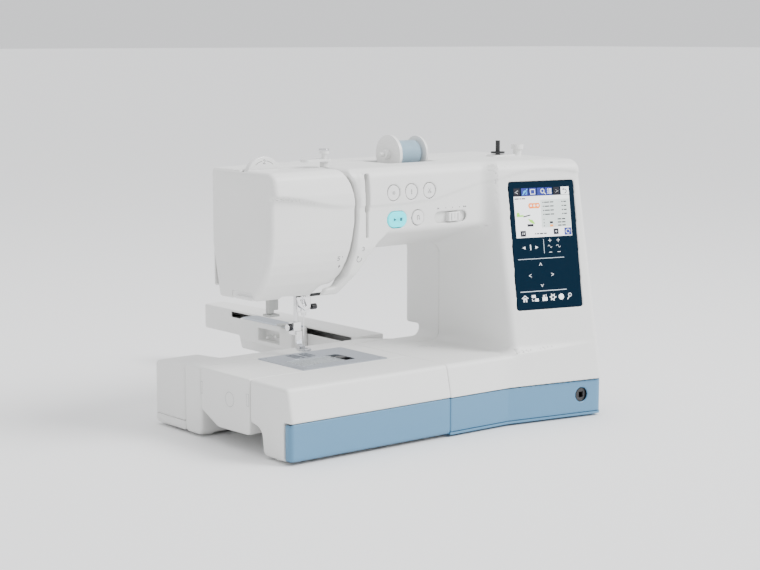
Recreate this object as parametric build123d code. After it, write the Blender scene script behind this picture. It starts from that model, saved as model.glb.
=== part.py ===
from build123d import *
import math
import os

# An embroidery machine: a C-shaped body on a low base, with an embroidery unit pushed onto its free arm.
# Working frame: origin at the front left bottom corner of the bed, +X right, +Y to the back, +Z up, mm.
# The written parts are shifted so that the origin is the bottom centre of the whole machine.

# ---- driving dimensions ----
WALL = 2.6                 # thickness of the moulded shells
GAP = 0.3                  # clearance round moving pieces
SEAM = 0.4                 # seam between two mouldings

BED_TOP = 86.5
BAND_TOP = 47.5            # top of the blue band round the base
FOOT_HEIGHT = 3.0          # rubber feet under the base
BODY_RIGHT = 463.5
BODY_REAR = 218.0
BODY_TOP = 319.0
KINK_X = 326.0             # where the front of the base turns towards the screen
FRONT_RIGHT_Y = -24.7      # front right corner of the base
BED_REAR = 190.0
COLUMN_LEFT = 342.0
SPLIT_Y = 149.0            # seam between front and rear mouldings
NOTCH_TOP = 97.0           # cut-out at the rear that the embroidery arm slides into
NOTCH_RIGHT = 400.0

TOWER_LEAN = 0.1825        # the screen face leans back by this much per mm of height
TOWER_TURN = -0.245        # and runs forward by this much per mm to the right
TOWER_FOOT_Y = -28.0       # its right edge at the top of the band
SKIRT_DRAFT = 9.0          # the bed's front slopes back by this much above the band
SKIRT_LIP = 1.5            # and stands this far proud of the band

ARM_FRONT = 57.0
ARM_LOW_FRONT = 241.0
ARM_LOW = 212.0
HEAD_LEFT = 23.8
HEAD_LOW = 171.0
COVER_LOW = 169.0          # lower edge of the swinging cover
HEAD_REAR = 188.0
COVER_TOP_REAR = 118.0     # where the swinging cover ends on top of the head

FREE_ARM_FRONT = 80.0
FREE_ARM_REAR = 180.5
FREE_ARM_LOW = 21.0
FREE_ARM_LENGTH = 232.4    # length of the leg that lies in front of the free arm

NEEDLE_X, NEEDLE_Y = 133.5, 157.0
PRESSER_Y = 173.0
SHAFT_Z = 272.0            # upper shaft
NEEDLE_BAR_R = 3.4
PRESSER_BAR_R = 3.0
SHAFT_R = 4.0
RUNNING = 0.05             # radial clearance of a shaft in its bush
THREADER_LOW = 140.5       # lower end of the needle threader when it is up

PLATE_BOX = (80.0, 84.0, 205.0, 178.0)     # needle plate, low and high X, Y
FEED_ROWS = ((117.5, 150), (122.1, 150), (126.7, 147), (135.9, 147), (140.5, 150), (145.1, 150))
HOOK_X, HOOK_Y = 130.0, 134.0
HOOK_R = 19.0

GLASS_X = (358.0, 447.5)   # touch glass on the screen face
GLASS_Z = (138.0, 293.0)
KNEE_X, KNEE_Z, KNEE_R = 432.5, 28.9, 5.2

SMALL_BUTTONS = {
    "lock_stitch_button": 191.4,
    "needle_position_button": 218.5,
    "thread_cutter_button": 246.4,
}
SMALL_BUTTON_Z, SMALL_BUTTON_R = 288.8, 9.0
START_X, START_Z, START_HALF_W, START_HALF_H = 197.3, 257.2, 14.0, 9.3
REVERSE_X, REVERSE_Z, REVERSE_R = 228.9, 257.5, 8.8
SLIDER_X, SLIDER_Z, SLIDER_HALF = 281.0, 255.2, 25.5
SLIDER_KNOB_X = 285.5

SPOOL_Y, SPOOL_Z = 133.0, 328.0
SPOOL_X = (245.0, 289.0)
SPOOL_CAP_R, THREAD_R = 23.5, 16.0
GUIDE_X, GUIDE_Y = 122.6, 104.5
WINDER_X, WINDER_Y = 416.0, 121.0
STOPPER_X = 450.0
DIAL_X, DIAL_Y, DIAL_Z, DIAL_R = 56.0, 130.0, 309.0, 24.5

BACK_BOX = (0.0, 216.4, 63.0, 283.0)       # low and high X, Y of the motor box of the unit
UNIT_RIGHT = 312.0
RAIL_TOP = 34.0
CARRIAGE_ARM_X = (266.0, 308.0)
CARRIAGE_ARM_Y = (218.4, 581.0)
CARRIAGE_ARM_TOP = 88.0
CARRIAGE_ARM_LOW = 35.5
CARRIAGE_ARM_STEP_Y = 489.0
CARRIAGE_Y = (328.0, 451.0)
SLOT_Y = (234.0, 511.0)
SLOT_Z = (77.0, 84.5)

WHEEL_R, WHEEL_W = 33.0, 19.0
MOTOR_Z, MOTOR_R = 150.0, 18.0
LOWER_SHAFT_Z = 52.0
SOCKET_Y, SOCKET_Z = 100.0, 72.0
REAR_SCREWS = ((360, 130), (445, 130), (445, 295), (250, 295), (180, 230))
LEVER_PIVOT = (136.0, 262.0)               # take-up lever pivot, Y and Z
LIFT_PIVOT = (187.5, 199.5)                # presser foot lever pivot, Y and Z

parts = {}


# ---- small building helpers ----
def block(low, high):
    size = [b - a for a, b in zip(low, high)]
    middle = [(a + b) / 2 for a, b in zip(low, high)]
    return Pos(*middle) * Box(*size)


def rod(start, end, radius):
    start, end = Vector(*start), Vector(*end)
    return Solid.make_cylinder(radius, (end - start).length, Plane(start, z_dir=end - start))


def outline(points):
    """A closed flat outline; a third number on a point rounds that corner."""
    face = make_face(Polyline(*[(p[0], p[1]) for p in points], close=True))
    for radius in sorted({p[2] for p in points if len(p) > 2}):
        wanted = [Vector(p[0], p[1]) for p in points if len(p) > 2 and p[2] == radius]
        corners = [v for v in face.vertices() if min((Vector(*v) - w).length for w in wanted) < 1e-3]
        face = fillet(corners, radius)
    return face


def along_x(points, low, high):
    return extrude(Plane.YZ.offset(low) * outline(points), high - low)


def along_y(points, low, high):
    return extrude(Plane.XZ.offset(-high) * outline(points), high - low)


def along_z(points, low, high):
    return extrude(Plane.XY.offset(low) * outline(points), high - low)


def rectangle(a0, b0, a1, b1, radius=None):
    corners = [(a0, b0), (a1, b0), (a1, b1), (a0, b1)]
    return [(a, b, radius) for a, b in corners] if radius else corners


def pill_y(x, z, half_w, half_h, low, high):
    """A slot shape in the X-Z plane with round ends, from low to high in Y."""
    return along_y(rectangle(x - half_w, z - half_h, x + half_w, z + half_h, half_h - 0.01), low, high)


def pill_z(x, y, half_w, half_h, low, high):
    """The same in the X-Y plane, from low to high in Z."""
    return along_z(rectangle(x - half_w, y - half_h, x + half_w, y + half_h, half_h - 0.01), low, high)


def tower_y(x, z, depth=0.0):
    """Where the leaning screen face is at x and z, depth mm below its surface."""
    steep = math.sqrt(1 + TOWER_LEAN ** 2 + TOWER_TURN ** 2)
    face = TOWER_FOOT_Y + TOWER_LEAN * (z - BAND_TOP) + TOWER_TURN * (x - BODY_RIGHT)
    return face + depth * steep


def behind_tower_face(depth):
    """Everything behind the screen face, from depth mm below its surface."""
    middle = (BODY_RIGHT, tower_y(BODY_RIGHT, BAND_TOP, depth), BAND_TOP)
    plane = Plane(middle, x_dir=(1, TOWER_TURN, 0), z_dir=(-TOWER_TURN, 1, -TOWER_LEAN))
    return plane * Box(1200, 1200, 600, align=(Align.CENTER, Align.CENTER, Align.MIN))


def tower_frame(x, z):
    """A plane on the screen face, local X to the right and local Y up the face, normal outwards."""
    return Plane((x, tower_y(x, z), z), x_dir=(1, TOWER_TURN, 0), z_dir=(TOWER_TURN, -1, TOWER_LEAN))


# ---- outer form of the machine, d mm inside its surface ----
def skirt_form(d):
    """The bed and the foot of the column above the blue band, with a sloping front."""
    def section(z, front_left, front_right):
        plan = [(FREE_ARM_LENGTH + SEAM + d, front_left + d), (KINK_X, front_left + d),
                (BODY_RIGHT - d, front_right + d), (BODY_RIGHT - d, BODY_REAR - d),
                (NOTCH_RIGHT + d, BODY_REAR - d), (NOTCH_RIGHT + d, BED_REAR - d),
                (FREE_ARM_LENGTH + SEAM + d, BED_REAR - d)]
        return Plane.XY.offset(z) * outline(plan)
    rise = BED_TOP - BAND_TOP
    low = section(BAND_TOP, -SKIRT_LIP, TOWER_FOOT_Y)
    high = section(BED_TOP - d, SKIRT_DRAFT - SKIRT_LIP, TOWER_FOOT_Y + TOWER_LEAN * rise)
    return loft([low.face(), high.face()], ruled=True)


def column_form(d):
    body = block((COLUMN_LEFT + d, -60, BAND_TOP), (BODY_RIGHT - d, BODY_REAR - d, BODY_TOP - d))
    notch = along_x([(BED_REAR - d, 0), (BODY_REAR + 10, 0), (BODY_REAR + 10, 106 + d),
                     (BODY_REAR - d, 105 + d), (BED_REAR - d, NOTCH_TOP + d)], 300, NOTCH_RIGHT + d)
    return (body & behind_tower_face(d)) - notch


def arm_form(d):
    side = [(ARM_FRONT + d, ARM_LOW_FRONT + d), (SPLIT_Y, ARM_LOW + d), (BODY_REAR - d, ARM_LOW + d, 8),
            (BODY_REAR - d, BODY_TOP - d, 12), (ARM_FRONT + 3 + d, BODY_TOP - d, 13),
            (ARM_FRONT + d, BODY_TOP - 30)]
    return along_x(side, 60 + d, BODY_RIGHT - d)


def head_form(d):
    """The part of the head that stays on the machine, right of and behind the swinging cover."""
    front = [(103.5 + d, HEAD_LOW + d), (128 - d, HEAD_LOW + d, 6), (174 - d, ARM_LOW_FRONT + d),
             (174 - d, BODY_TOP - d), (124 + d, BODY_TOP - d), (136 + d, 304), (140.5 + d, 282),
             (140.5 + d, 260), (135.5 + d, 222), (130.5 + d, 195), (121 + d, 182), (109 + d, 180)]
    side = [(ARM_FRONT + 26 + d, HEAD_LOW + d), (170, HEAD_LOW + d, 10), (BODY_REAR - 20 - d, 212, 10),
            (BODY_REAR - 6 - d, BODY_TOP - d, 10), (ARM_FRONT + 3 + d, BODY_TOP - d, 13),
            (ARM_FRONT + d, BODY_TOP - 30), (ARM_FRONT + d, 222), (ARM_FRONT + 8 + d, 196)]
    return along_y(front, 0, 300) & along_x(side, 60, 200)


def head_rear_form(d):
    """The back of the head behind the swinging cover and the strip of its top beside it."""
    low_x = HEAD_LEFT + 4.4 + d
    rear = [(142, BODY_REAR - 6 - d), (110, BODY_REAR - 6 - d, 30), (60, HEAD_REAR + 8 - d, 20),
            (low_x, HEAD_REAR + 4 - d)]
    top_front = COVER_TOP_REAR + SEAM + d
    back_front = HEAD_REAR + 1.4 + d
    top = along_z([(low_x, top_front), (142, top_front)] + rear, BODY_TOP - 9, BODY_TOP - d)
    back = along_z([(low_x, back_front), (142, back_front)] + rear, HEAD_LOW + 6 + d, BODY_TOP - 9)
    return top + back


def body_form(d):
    left_of_head = block((0, 40, 100), (142 + d, 300, BODY_TOP + 1))
    return skirt_form(d) + column_form(d) + (arm_form(d) - left_of_head) + head_form(d) + head_rear_form(d)


def glass_slab(depth, thickness, margin):
    """A slab parallel to the screen face, with the outline of the touch glass grown by margin."""
    x, z = sum(GLASS_X) / 2, sum(GLASS_Z) / 2
    width = (GLASS_X[1] - GLASS_X[0]) * math.hypot(1, TOWER_TURN) + 2 * margin
    height = (GLASS_Z[1] - GLASS_Z[0]) * math.hypot(1, TOWER_LEAN) + 2 * margin
    face = RectangleRounded(width, height, max(3 + margin, 1))
    return extrude(tower_frame(x, z).offset(-depth) * face, -thickness)


def control_cuts():
    """Holes in the front moulding for the buttons and the speed slider."""
    z = SMALL_BUTTON_Z
    cuts = [rod((x, 40, z), (x, 90, z), SMALL_BUTTON_R + GAP) for x in SMALL_BUTTONS.values()]
    cuts.append(rod((REVERSE_X, 40, REVERSE_Z), (REVERSE_X, 90, REVERSE_Z), REVERSE_R + GAP))
    cuts.append(pill_y(START_X, START_Z, START_HALF_W + GAP, START_HALF_H + GAP, 40, 90))
    cuts.append(pill_y(SLIDER_X, SLIDER_Z, SLIDER_HALF, 6.5, 40, 90))
    return cuts


def bottom_openings():
    """The open underside of the two mouldings, just above the blue band."""
    low, high = BAND_TOP - 1, BAND_TOP + 2
    back = BED_REAR - WALL
    opening = block((FREE_ARM_LENGTH + SEAM + WALL, 6, low), (NOTCH_RIGHT, back, high))
    opening += block((KINK_X + 20, 10, low), (NOTCH_RIGHT + 5, back, high))
    opening += block((NOTCH_RIGHT + WALL, 10, low), (BODY_RIGHT - WALL, BODY_REAR - WALL, high))
    return opening


def make_cases():
    """The two white mouldings of the machine, in front of and behind the seam."""
    case = body_form(0) - body_form(WALL) - bottom_openings()
    x0, x1 = SPOOL_X
    tray = block((x0 - 20, SPOOL_Y - 26, BODY_TOP - 17), (x1 + 16, SPOOL_Y + 26, BODY_TOP + 5))
    tray_shell = block((x0 - 22, SPOOL_Y - 28, BODY_TOP - 19), (x1 + 18, SPOOL_Y + 28, BODY_TOP - 1))
    case = (case + tray_shell) - tray
    free_arm_mouth = block((FREE_ARM_LENGTH - 5, FREE_ARM_FRONT + 5, BAND_TOP - 1),
                           (FREE_ARM_LENGTH + 6, FREE_ARM_REAR - 5, BED_TOP - 6))
    lever_channel = block((149.5, ARM_FRONT - 5, 214), (155.5, ARM_FRONT + 45, 314))
    head_mouth = block((100, ARM_FRONT + 30, HEAD_LOW - 5), (150, HEAD_REAR - 2, BODY_TOP - WALL))
    lift_slot = block((131.4, 150, HEAD_LOW - 5), (146.2, BODY_REAR + 5, 209))
    case -= free_arm_mouth
    case -= lever_channel
    case -= head_mouth
    case -= lift_slot
    for cut in control_cuts():
        case -= cut
    case -= glass_slab(-1, 12, GAP)
    case -= pill_z(WINDER_X + 1.5, WINDER_Y, 7.5, 4.5, BODY_TOP - 10, BODY_TOP + 5)
    case -= block((DIAL_X - DIAL_R - 1, DIAL_Y - 5, BODY_TOP - 15),
                  (DIAL_X + DIAL_R + 1, DIAL_Y + 5, BODY_TOP + 5))
    case -= block((455, SOCKET_Y - 27, SOCKET_Z - 11), (480, SOCKET_Y + 27, SOCKET_Z + 11))
    for x, z in REAR_SCREWS:
        case -= rod((x, BODY_REAR - 10, z), (x, BODY_REAR + 5, z), 4)
    case -= rod((440, NEEDLE_Y, SHAFT_Z), (480, NEEDLE_Y, SHAFT_Z), 8)
    everything = 700
    front_half = block((-50, -100, 0), (everything, SPLIT_Y, everything))
    rear_half = block((-50, SPLIT_Y + SEAM, 0), (everything, everything, everything))
    parts["front_case"] = case & front_half
    parts["rear_case"] = case & rear_half


def skirt_plan(d):
    """Outline of the blue band and the base, d mm inside."""
    left = FREE_ARM_LENGTH + SEAM + d
    return [(left, d), (KINK_X, d), (BODY_RIGHT - d, FRONT_RIGHT_Y + d, max(6 - d, 1)),
            (BODY_RIGHT - d, BODY_REAR - d, 5), (NOTCH_RIGHT + d, BODY_REAR - d),
            (NOTCH_RIGHT + d, BED_REAR - d), (left, BED_REAR - d)]


def make_base():
    knee_hole = rod((KNEE_X, -60, KNEE_Z), (KNEE_X, 40, KNEE_Z), KNEE_R + 3.6)
    mouth = block((FREE_ARM_LENGTH - 5, FREE_ARM_FRONT + 5, FREE_ARM_LOW + 4),
                  (FREE_ARM_LENGTH + 6, FREE_ARM_REAR - 5, 60))
    band = along_z(skirt_plan(0), FOOT_HEIGHT + 3, BAND_TOP - SEAM) - along_z(skirt_plan(WALL), 0, BAND_TOP)
    parts["base_band"] = band - knee_hole - mouth
    tray = along_z(skirt_plan(WALL + GAP), FOOT_HEIGHT, FOOT_HEIGHT + 2.5)
    rim = along_z(skirt_plan(0), FOOT_HEIGHT, FOOT_HEIGHT + 2.8) - along_z(skirt_plan(WALL + GAP), 0, 10)
    parts["base_tray"] = tray + rim
    places = ((262, 30), (440, 8), (440, 195), (262, 165), (350, 100))
    feet = [rod((x, y, 0), (x, y, FOOT_HEIGHT), 9) for x, y in places]
    parts["rubber_feet"] = Compound(feet)


def free_arm_form(d):
    side = [(FREE_ARM_FRONT + d, FREE_ARM_LOW + d, 6 - d), (145, FREE_ARM_LOW - 1 + d, 20),
            (FREE_ARM_REAR - d, 36 + d, 3), (FREE_ARM_REAR - d, BED_TOP - d),
            (FREE_ARM_FRONT + d, BED_TOP - d)]
    return along_x(side, d, FREE_ARM_LENGTH + SEAM + (10 if d else -0.1))


def make_free_arm():
    x0, y0, x1, y1 = PLATE_BOX
    body = free_arm_form(0) - free_arm_form(WALL)
    body -= block((x0 + 3, y0 + 3, 60), (x1 - 3, y1 - 3, 100))
    body -= block((x0 - GAP, y0 - GAP, BED_TOP - 1.6), (x1 + GAP, y1 + GAP, 100))
    parts["free_arm_cover"] = body


def make_needle_plate():
    x0, y0, x1, y1 = PLATE_BOX
    top = BED_TOP + 0.6
    plate = along_z(rectangle(x0, y0, x1, y1, 1.5), BED_TOP - 1.4, top)
    cover_cut = along_z(rectangle(93 - GAP, 104 - GAP, 172, 141.5 + GAP, 4), 80, 90)
    plate -= cover_cut
    for x, start in FEED_ROWS:
        plate -= block((x - 1.3, start - 1, 80), (x + 1.3, 172, 90))
    plate -= pill_z(NEEDLE_X, NEEDLE_Y, 5.0, 1.4, 80, 90)
    for x, y in ((88, 92), (88, 170), (198, 92), (198, 170)):
        plate -= Pos(x, y, top) * Cone(0.1, 2.2, 1.6, align=(Align.CENTER, Align.CENTER, Align.MAX))
    parts["needle_plate"] = plate
    glass = along_z(rectangle(93, 104, 157, 141.5, 4), BED_TOP - 1.2, top)
    parts["hook_cover"] = glass - pill_z(150, 122.7, 4, 2.5, 80, 90)
    parts["hook_cover_release"] = along_z(rectangle(158, 117, 168.5, 130, 1.5), BED_TOP - 1.2, top + 0.4)
    carrier = block((115, 155, 76), (147.5, 174, 84)) - pill_z(NEEDLE_X, NEEDLE_Y, 8, 4, 70, 85)
    for x, start in FEED_ROWS:
        carrier += block((x - 0.8, start, 83), (x + 0.8, 171, BED_TOP - 0.6))
    parts["feed_dog"] = carrier


def cover_form(d, open_side=0.0):
    """Left, front and forward top of the head, d mm inside; the step in the side view is the crease."""
    side = [(ARM_FRONT + 1.5 + d, 293 + d, 3), (ARM_FRONT + 6 + d, 308, 8), (86, BODY_TOP - d, 14),
            (HEAD_REAR + open_side, BODY_TOP - d, 4),
            (HEAD_REAR + open_side, 232),
            (HEAD_REAR - 13 + open_side, COVER_LOW + d, 8), (103 + d, COVER_LOW + d, 10),
            (72 + d, 218, 30), (ARM_FRONT + 11 + d, 254, 30), (ARM_FRONT + 11 + d, 288 + d, 3)]
    front = [(HEAD_LEFT + d, BODY_TOP - d, 5), (121, BODY_TOP - d), (132 - d, 304, 30),
             (137 - d, 282, 40), (137 - d, 260, 40), (132 - d, 222, 40), (127 - d, 196, 12),
             (119, 185 + d, 6), (107, 183 + d, 5), (99, COVER_LOW + 1 + d, 6),
             (HEAD_LEFT + d, COVER_LOW + d, 6)]
    return along_x(side, HEAD_LEFT - 5, 200) & along_y(front, 0, 300)


def make_face_cover():
    cover = cover_form(0)
    inside = cover_form(WALL, 20) & block((HEAD_LEFT + WALL, 40, 150), (300, 300, 400))
    rear_top = block((HEAD_LEFT + WALL, COVER_TOP_REAR, BODY_TOP - 14), (200, 300, 400))
    right_mouth = block((112, ARM_FRONT + 30, 150), (200, 300, BODY_TOP - WALL))
    low_mouth = block((60, 100, HEAD_LOW - 5), (200, 182, HEAD_LOW + 20))
    parts["face_cover"] = cover - inside - rear_top - right_mouth - low_mouth


def soft_front(cap, radius):
    """Rounds the edge of a button's front face."""
    return fillet(cap.edges().group_by(Axis.Y)[0], radius)


def make_controls(electronics):
    panel = ARM_FRONT
    for name, x in SMALL_BUTTONS.items():
        cap = rod((x, panel - 1.2, SMALL_BUTTON_Z), (x, panel + 4.8, SMALL_BUTTON_Z), SMALL_BUTTON_R)
        parts[name] = soft_front(cap, 1.0)
    cap = rod((REVERSE_X, panel - 1.2, REVERSE_Z), (REVERSE_X, panel + 4.8, REVERSE_Z), REVERSE_R)
    parts["reverse_button"] = soft_front(cap, 1.0)
    start = pill_y(START_X, START_Z, START_HALF_W, START_HALF_H, panel - 1.4, panel + 5)
    parts["start_stop_button"] = soft_front(start, 1.0)
    knob = block((SLIDER_KNOB_X - 9, panel - 2.5, SLIDER_Z - 5.6),
                 (SLIDER_KNOB_X + 9, panel + 4, SLIDER_Z + 5.6))
    parts["speed_slider"] = soft_front(knob, 1.2)
    track = block((SLIDER_X - 30, panel + 6, SLIDER_Z - 9), (SLIDER_X + 30, panel + 8, SLIDER_Z + 9))
    board = block((180, panel + 8, 244), (SLIDER_X + 30, panel + 9.6, 300))
    electronics.append((track + board).solid())


def make_screen(electronics):
    parts["touch_glass"] = glass_slab(0.6, 2.0, 0)
    electronics.append(glass_slab(2.8, 6, -3).solid())
    electronics.append(glass_slab(18, 1.6, -6).solid())


def make_frame():
    """Die-cast frame: bed, column and arm plates with the bearing blocks of the head."""
    frame = block((20, 96, 33), (436, 166, 38)) + block((390, 160, 33), (436, 182, 38))
    frame += block((360, 176.5, 33), (440, 182, 300)) + block((118, 176.5, 262), (440, 182, 300))
    for x in (250, 410):
        frame += block((x, 110, FOOT_HEIGHT + 2.6), (x + 12, 160, 33))
    frame += block((120, 148, 206), (140, 182, 216)) + block((120, 148, 292), (140, 182, 300))
    frame += block((118, 178, 206), (140, 182, 300))
    for x in (162, 430):
        frame += block((x, 150, 262), (x + 6, 182, 284))
    for x in (36, 424):
        frame += block((x, 150, 38), (x + 6, 164, 60))
    frame += block((156, LEVER_PIVOT[0] - 5, 254), (160, 182, 267))
    frame += block((132, 182, 194), (139.5, 192, 207))
    frame += block((DIAL_X - 5, 181, 296), (124, HEAD_REAR + 1, DIAL_Z - 1))
    frame += rod((DIAL_X, DIAL_Y - 7, DIAL_Z), (DIAL_X, HEAD_REAR + 1, DIAL_Z), 3)
    frame -= rod((NEEDLE_X, NEEDLE_Y, 190), (NEEDLE_X, NEEDLE_Y, 310), NEEDLE_BAR_R + RUNNING)
    frame -= rod((NEEDLE_X, PRESSER_Y, 190), (NEEDLE_X, PRESSER_Y, 310), PRESSER_BAR_R + RUNNING)
    frame -= rod((161, NEEDLE_Y, SHAFT_Z), (500, NEEDLE_Y, SHAFT_Z), SHAFT_R + RUNNING)
    frame -= rod((141, NEEDLE_Y, SHAFT_Z), (161, NEEDLE_Y, SHAFT_Z), SHAFT_R + 2)
    frame -= rod((0, NEEDLE_Y, LOWER_SHAFT_Z), (450, NEEDLE_Y, LOWER_SHAFT_Z), SHAFT_R - 0.5 + RUNNING)
    frame -= rod((0, LEVER_PIVOT[0], LEVER_PIVOT[1]), (300, LEVER_PIVOT[0], LEVER_PIVOT[1]), 2 + RUNNING)
    frame -= rod((130, *LIFT_PIVOT), (150, *LIFT_PIVOT), 2 + RUNNING)
    frame -= block((139.6, 178, 190), (150, 200, 210))
    parts["main_frame"] = frame


def belt(x0, x1, z_low, r_low, z_high, r_high, thickness):
    """A toothed belt round two pulleys, one above the other, as a plain loop."""
    def loop(extra):
        low, high = r_low + extra, r_high + extra
        ends = rod((x0, NEEDLE_Y, z_low), (x1, NEEDLE_Y, z_low), low)
        ends += rod((x0, NEEDLE_Y, z_high), (x1, NEEDLE_Y, z_high), high)
        lean = math.asin((high - low) / (z_high - z_low))
        up, out = math.sin(lean), math.cos(lean)
        sides = [(NEEDLE_Y - low * out, z_low - low * up), (NEEDLE_Y + low * out, z_low - low * up),
                 (NEEDLE_Y + high * out, z_high - high * up), (NEEDLE_Y - high * out, z_high - high * up)]
        return ends + along_x(sides, x0, x1)
    return loop(GAP + thickness) - loop(GAP)


def make_drive():
    y, z = NEEDLE_Y, SHAFT_Z
    shaft = rod((141.5, y, z), (BODY_RIGHT + 1.5, y, z), SHAFT_R) + rod((141.5, y, z), (147, y, z), 13)
    shaft += rod((396, y, z), (408, y, z), 16) + rod((412, y, z), (422, y, z), 10)
    parts["upper_shaft"] = shaft
    wheel = fillet(rod((BODY_RIGHT + 1.5, y, z), (BODY_RIGHT + 1.5 + WHEEL_W, y, z), WHEEL_R).edges(), 4)
    wheel -= rod((BODY_RIGHT + WHEEL_W - 3, y, z), (BODY_RIGHT + 40, y, z), 20)
    for k in range(16):
        a = math.radians(22.5 * k)
        rib = (y + (WHEEL_R + 2.4) * math.cos(a), z + (WHEEL_R + 2.4) * math.sin(a))
        wheel -= rod((BODY_RIGHT, *rib), (BODY_RIGHT + 40, *rib), 4)
    parts["handwheel"] = wheel
    low = LOWER_SHAFT_Z
    lower = rod((32, y, low), (434, y, low), SHAFT_R - 0.5) + rod((412, y, low), (422, y, low), 10)
    parts["lower_shaft"] = lower + rod((HOOK_X - 6, y, low), (HOOK_X + 6, y, low), 7)
    motor = rod((350, y, MOTOR_Z), (390, y, MOTOR_Z), MOTOR_R)
    parts["main_motor"] = motor - rod((380, y, MOTOR_Z), (391, y, MOTOR_Z), 3.3)
    pulley = rod((382, y, MOTOR_Z), (408, y, MOTOR_Z), 3)
    parts["motor_pulley"] = pulley + rod((396, y, MOTOR_Z), (408, y, MOTOR_Z), 8)
    motor_belt = belt(397, 407, MOTOR_Z, 8, z, 16, 1.5)
    timing_belt = belt(413, 421, low, 10, z, 10, 1.5)
    parts["drive_belts"] = Compound([motor_belt.solid(), timing_belt.solid()])
    hook = rod((HOOK_X, HOOK_Y, 60), (HOOK_X, HOOK_Y, 79), HOOK_R)
    hook -= rod((HOOK_X, HOOK_Y, 63), (HOOK_X, HOOK_Y, 90), HOOK_R - 1.5)
    parts["bobbin_hook"] = hook + rod((HOOK_X, HOOK_Y, 48), (HOOK_X, HOOK_Y, 60), 5)
    case = rod((HOOK_X, HOOK_Y, 64), (HOOK_X, HOOK_Y, 80), HOOK_R - 2)
    parts["bobbin_case"] = case - rod((HOOK_X, HOOK_Y, 66), (HOOK_X, HOOK_Y, 90), 11.5)
    spool = rod((HOOK_X, HOOK_Y, 66.4), (HOOK_X, HOOK_Y, 78.5), 10.8)
    parts["bobbin"] = spool - rod((HOOK_X, HOOK_Y, 60), (HOOK_X, HOOK_Y, 90), 3)


def make_needle_gear():
    x, y = NEEDLE_X, NEEDLE_Y
    clamp = block((x - 6, y - 4.5, 141), (x + 6, y + 4.5, 152)) + rod((x, y, 137), (x, y, 141), 3.2)
    clamp += block((x - 11, y - 3, 143), (x - 5, y - 1, 151))
    bar = rod((x, y, 150), (x, y, 303), NEEDLE_BAR_R) + clamp
    parts["needle_bar"] = bar - rod((x, y, 130), (x, y, 148.6), 0.85)
    screw = rod((x + 6, y, 146.5), (x + 11, y, 146.5), 1.8)
    parts["needle_clamp_screw"] = screw + rod((x + 11, y, 146.5), (x + 18, y, 146.5), 3.6)
    parts["needle"] = rod((x, y, 112), (x, y, 148.5), 0.8) + Pos(x, y, 107.4) * Cone(0.15, 0.8, 9.2)
    parts["presser_bar"] = rod((x, PRESSER_Y, 112), (x, PRESSER_Y, 303), PRESSER_BAR_R)
    parts["embroidery_foot"] = foot_form()
    lever_y, lever_z = LEVER_PIVOT
    arm = [(lever_y - 4, lever_z - 4, 3), (lever_y + 5, lever_z - 4, 3), (lever_y + 5, lever_z + 5, 3),
           (lever_y - 20, lever_z + 17), (74, 308, 2), (66, 310, 3), (64, 303, 2), (73, 301),
           (lever_y - 24, lever_z + 9)]
    lever = along_x(arm, 151.7, 153.3) - rod((140, 69, 305.5), (160, 69, 305.5), 1.5)
    lever -= rod((140, lever_y, lever_z), (160, lever_y, lever_z), 1.9)
    parts["take_up_lever"] = lever + rod((151.7, lever_y, lever_z), (160, lever_y, lever_z), 2)
    handle = [(182, 203, 3), (189, 205, 3), (207, 192, 6), (226, 184, 3), (224, 177, 3), (203, 183, 8)]
    parts["presser_lever"] = along_x(handle, 140.6, 145.0) + rod((135, *LIFT_PIVOT), (145, *LIFT_PIVOT), 2)
    post = block((80, 153, THREADER_LOW + 4), (87, 160, 215)) + block((86, 154, 148), (94, 160, 161))
    post += block((81, 154, THREADER_LOW + 2.6), (86, 159, THREADER_LOW + 4.4))
    parts["needle_threader"] = post + block((78.5, 150, THREADER_LOW), (93, 164, THREADER_LOW + 2.8))


def foot_form():
    """Embroidery foot: a shank on the presser bar and a ring round the needle."""
    x, y = NEEDLE_X, NEEDLE_Y
    shank = block((x - 7, PRESSER_Y - 5, 112), (x + 4, PRESSER_Y + 5, 127))
    shank += block((x - 4, PRESSER_Y - 7, 99), (x + 4, PRESSER_Y - 4, 116))
    ring = rod((x, y, 94), (x, y, 96), 9) + block((x - 4, y, 94), (x + 4, PRESSER_Y - 4, 100))
    ring -= rod((x, y, 90), (x, y, 110), 5)
    shank -= rod((x, PRESSER_Y, 111.9), (x, PRESSER_Y, 140), PRESSER_BAR_R)
    return shank + ring + rod((x - 7, PRESSER_Y, 121), (x - 13, PRESSER_Y, 121), 4.2)


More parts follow.
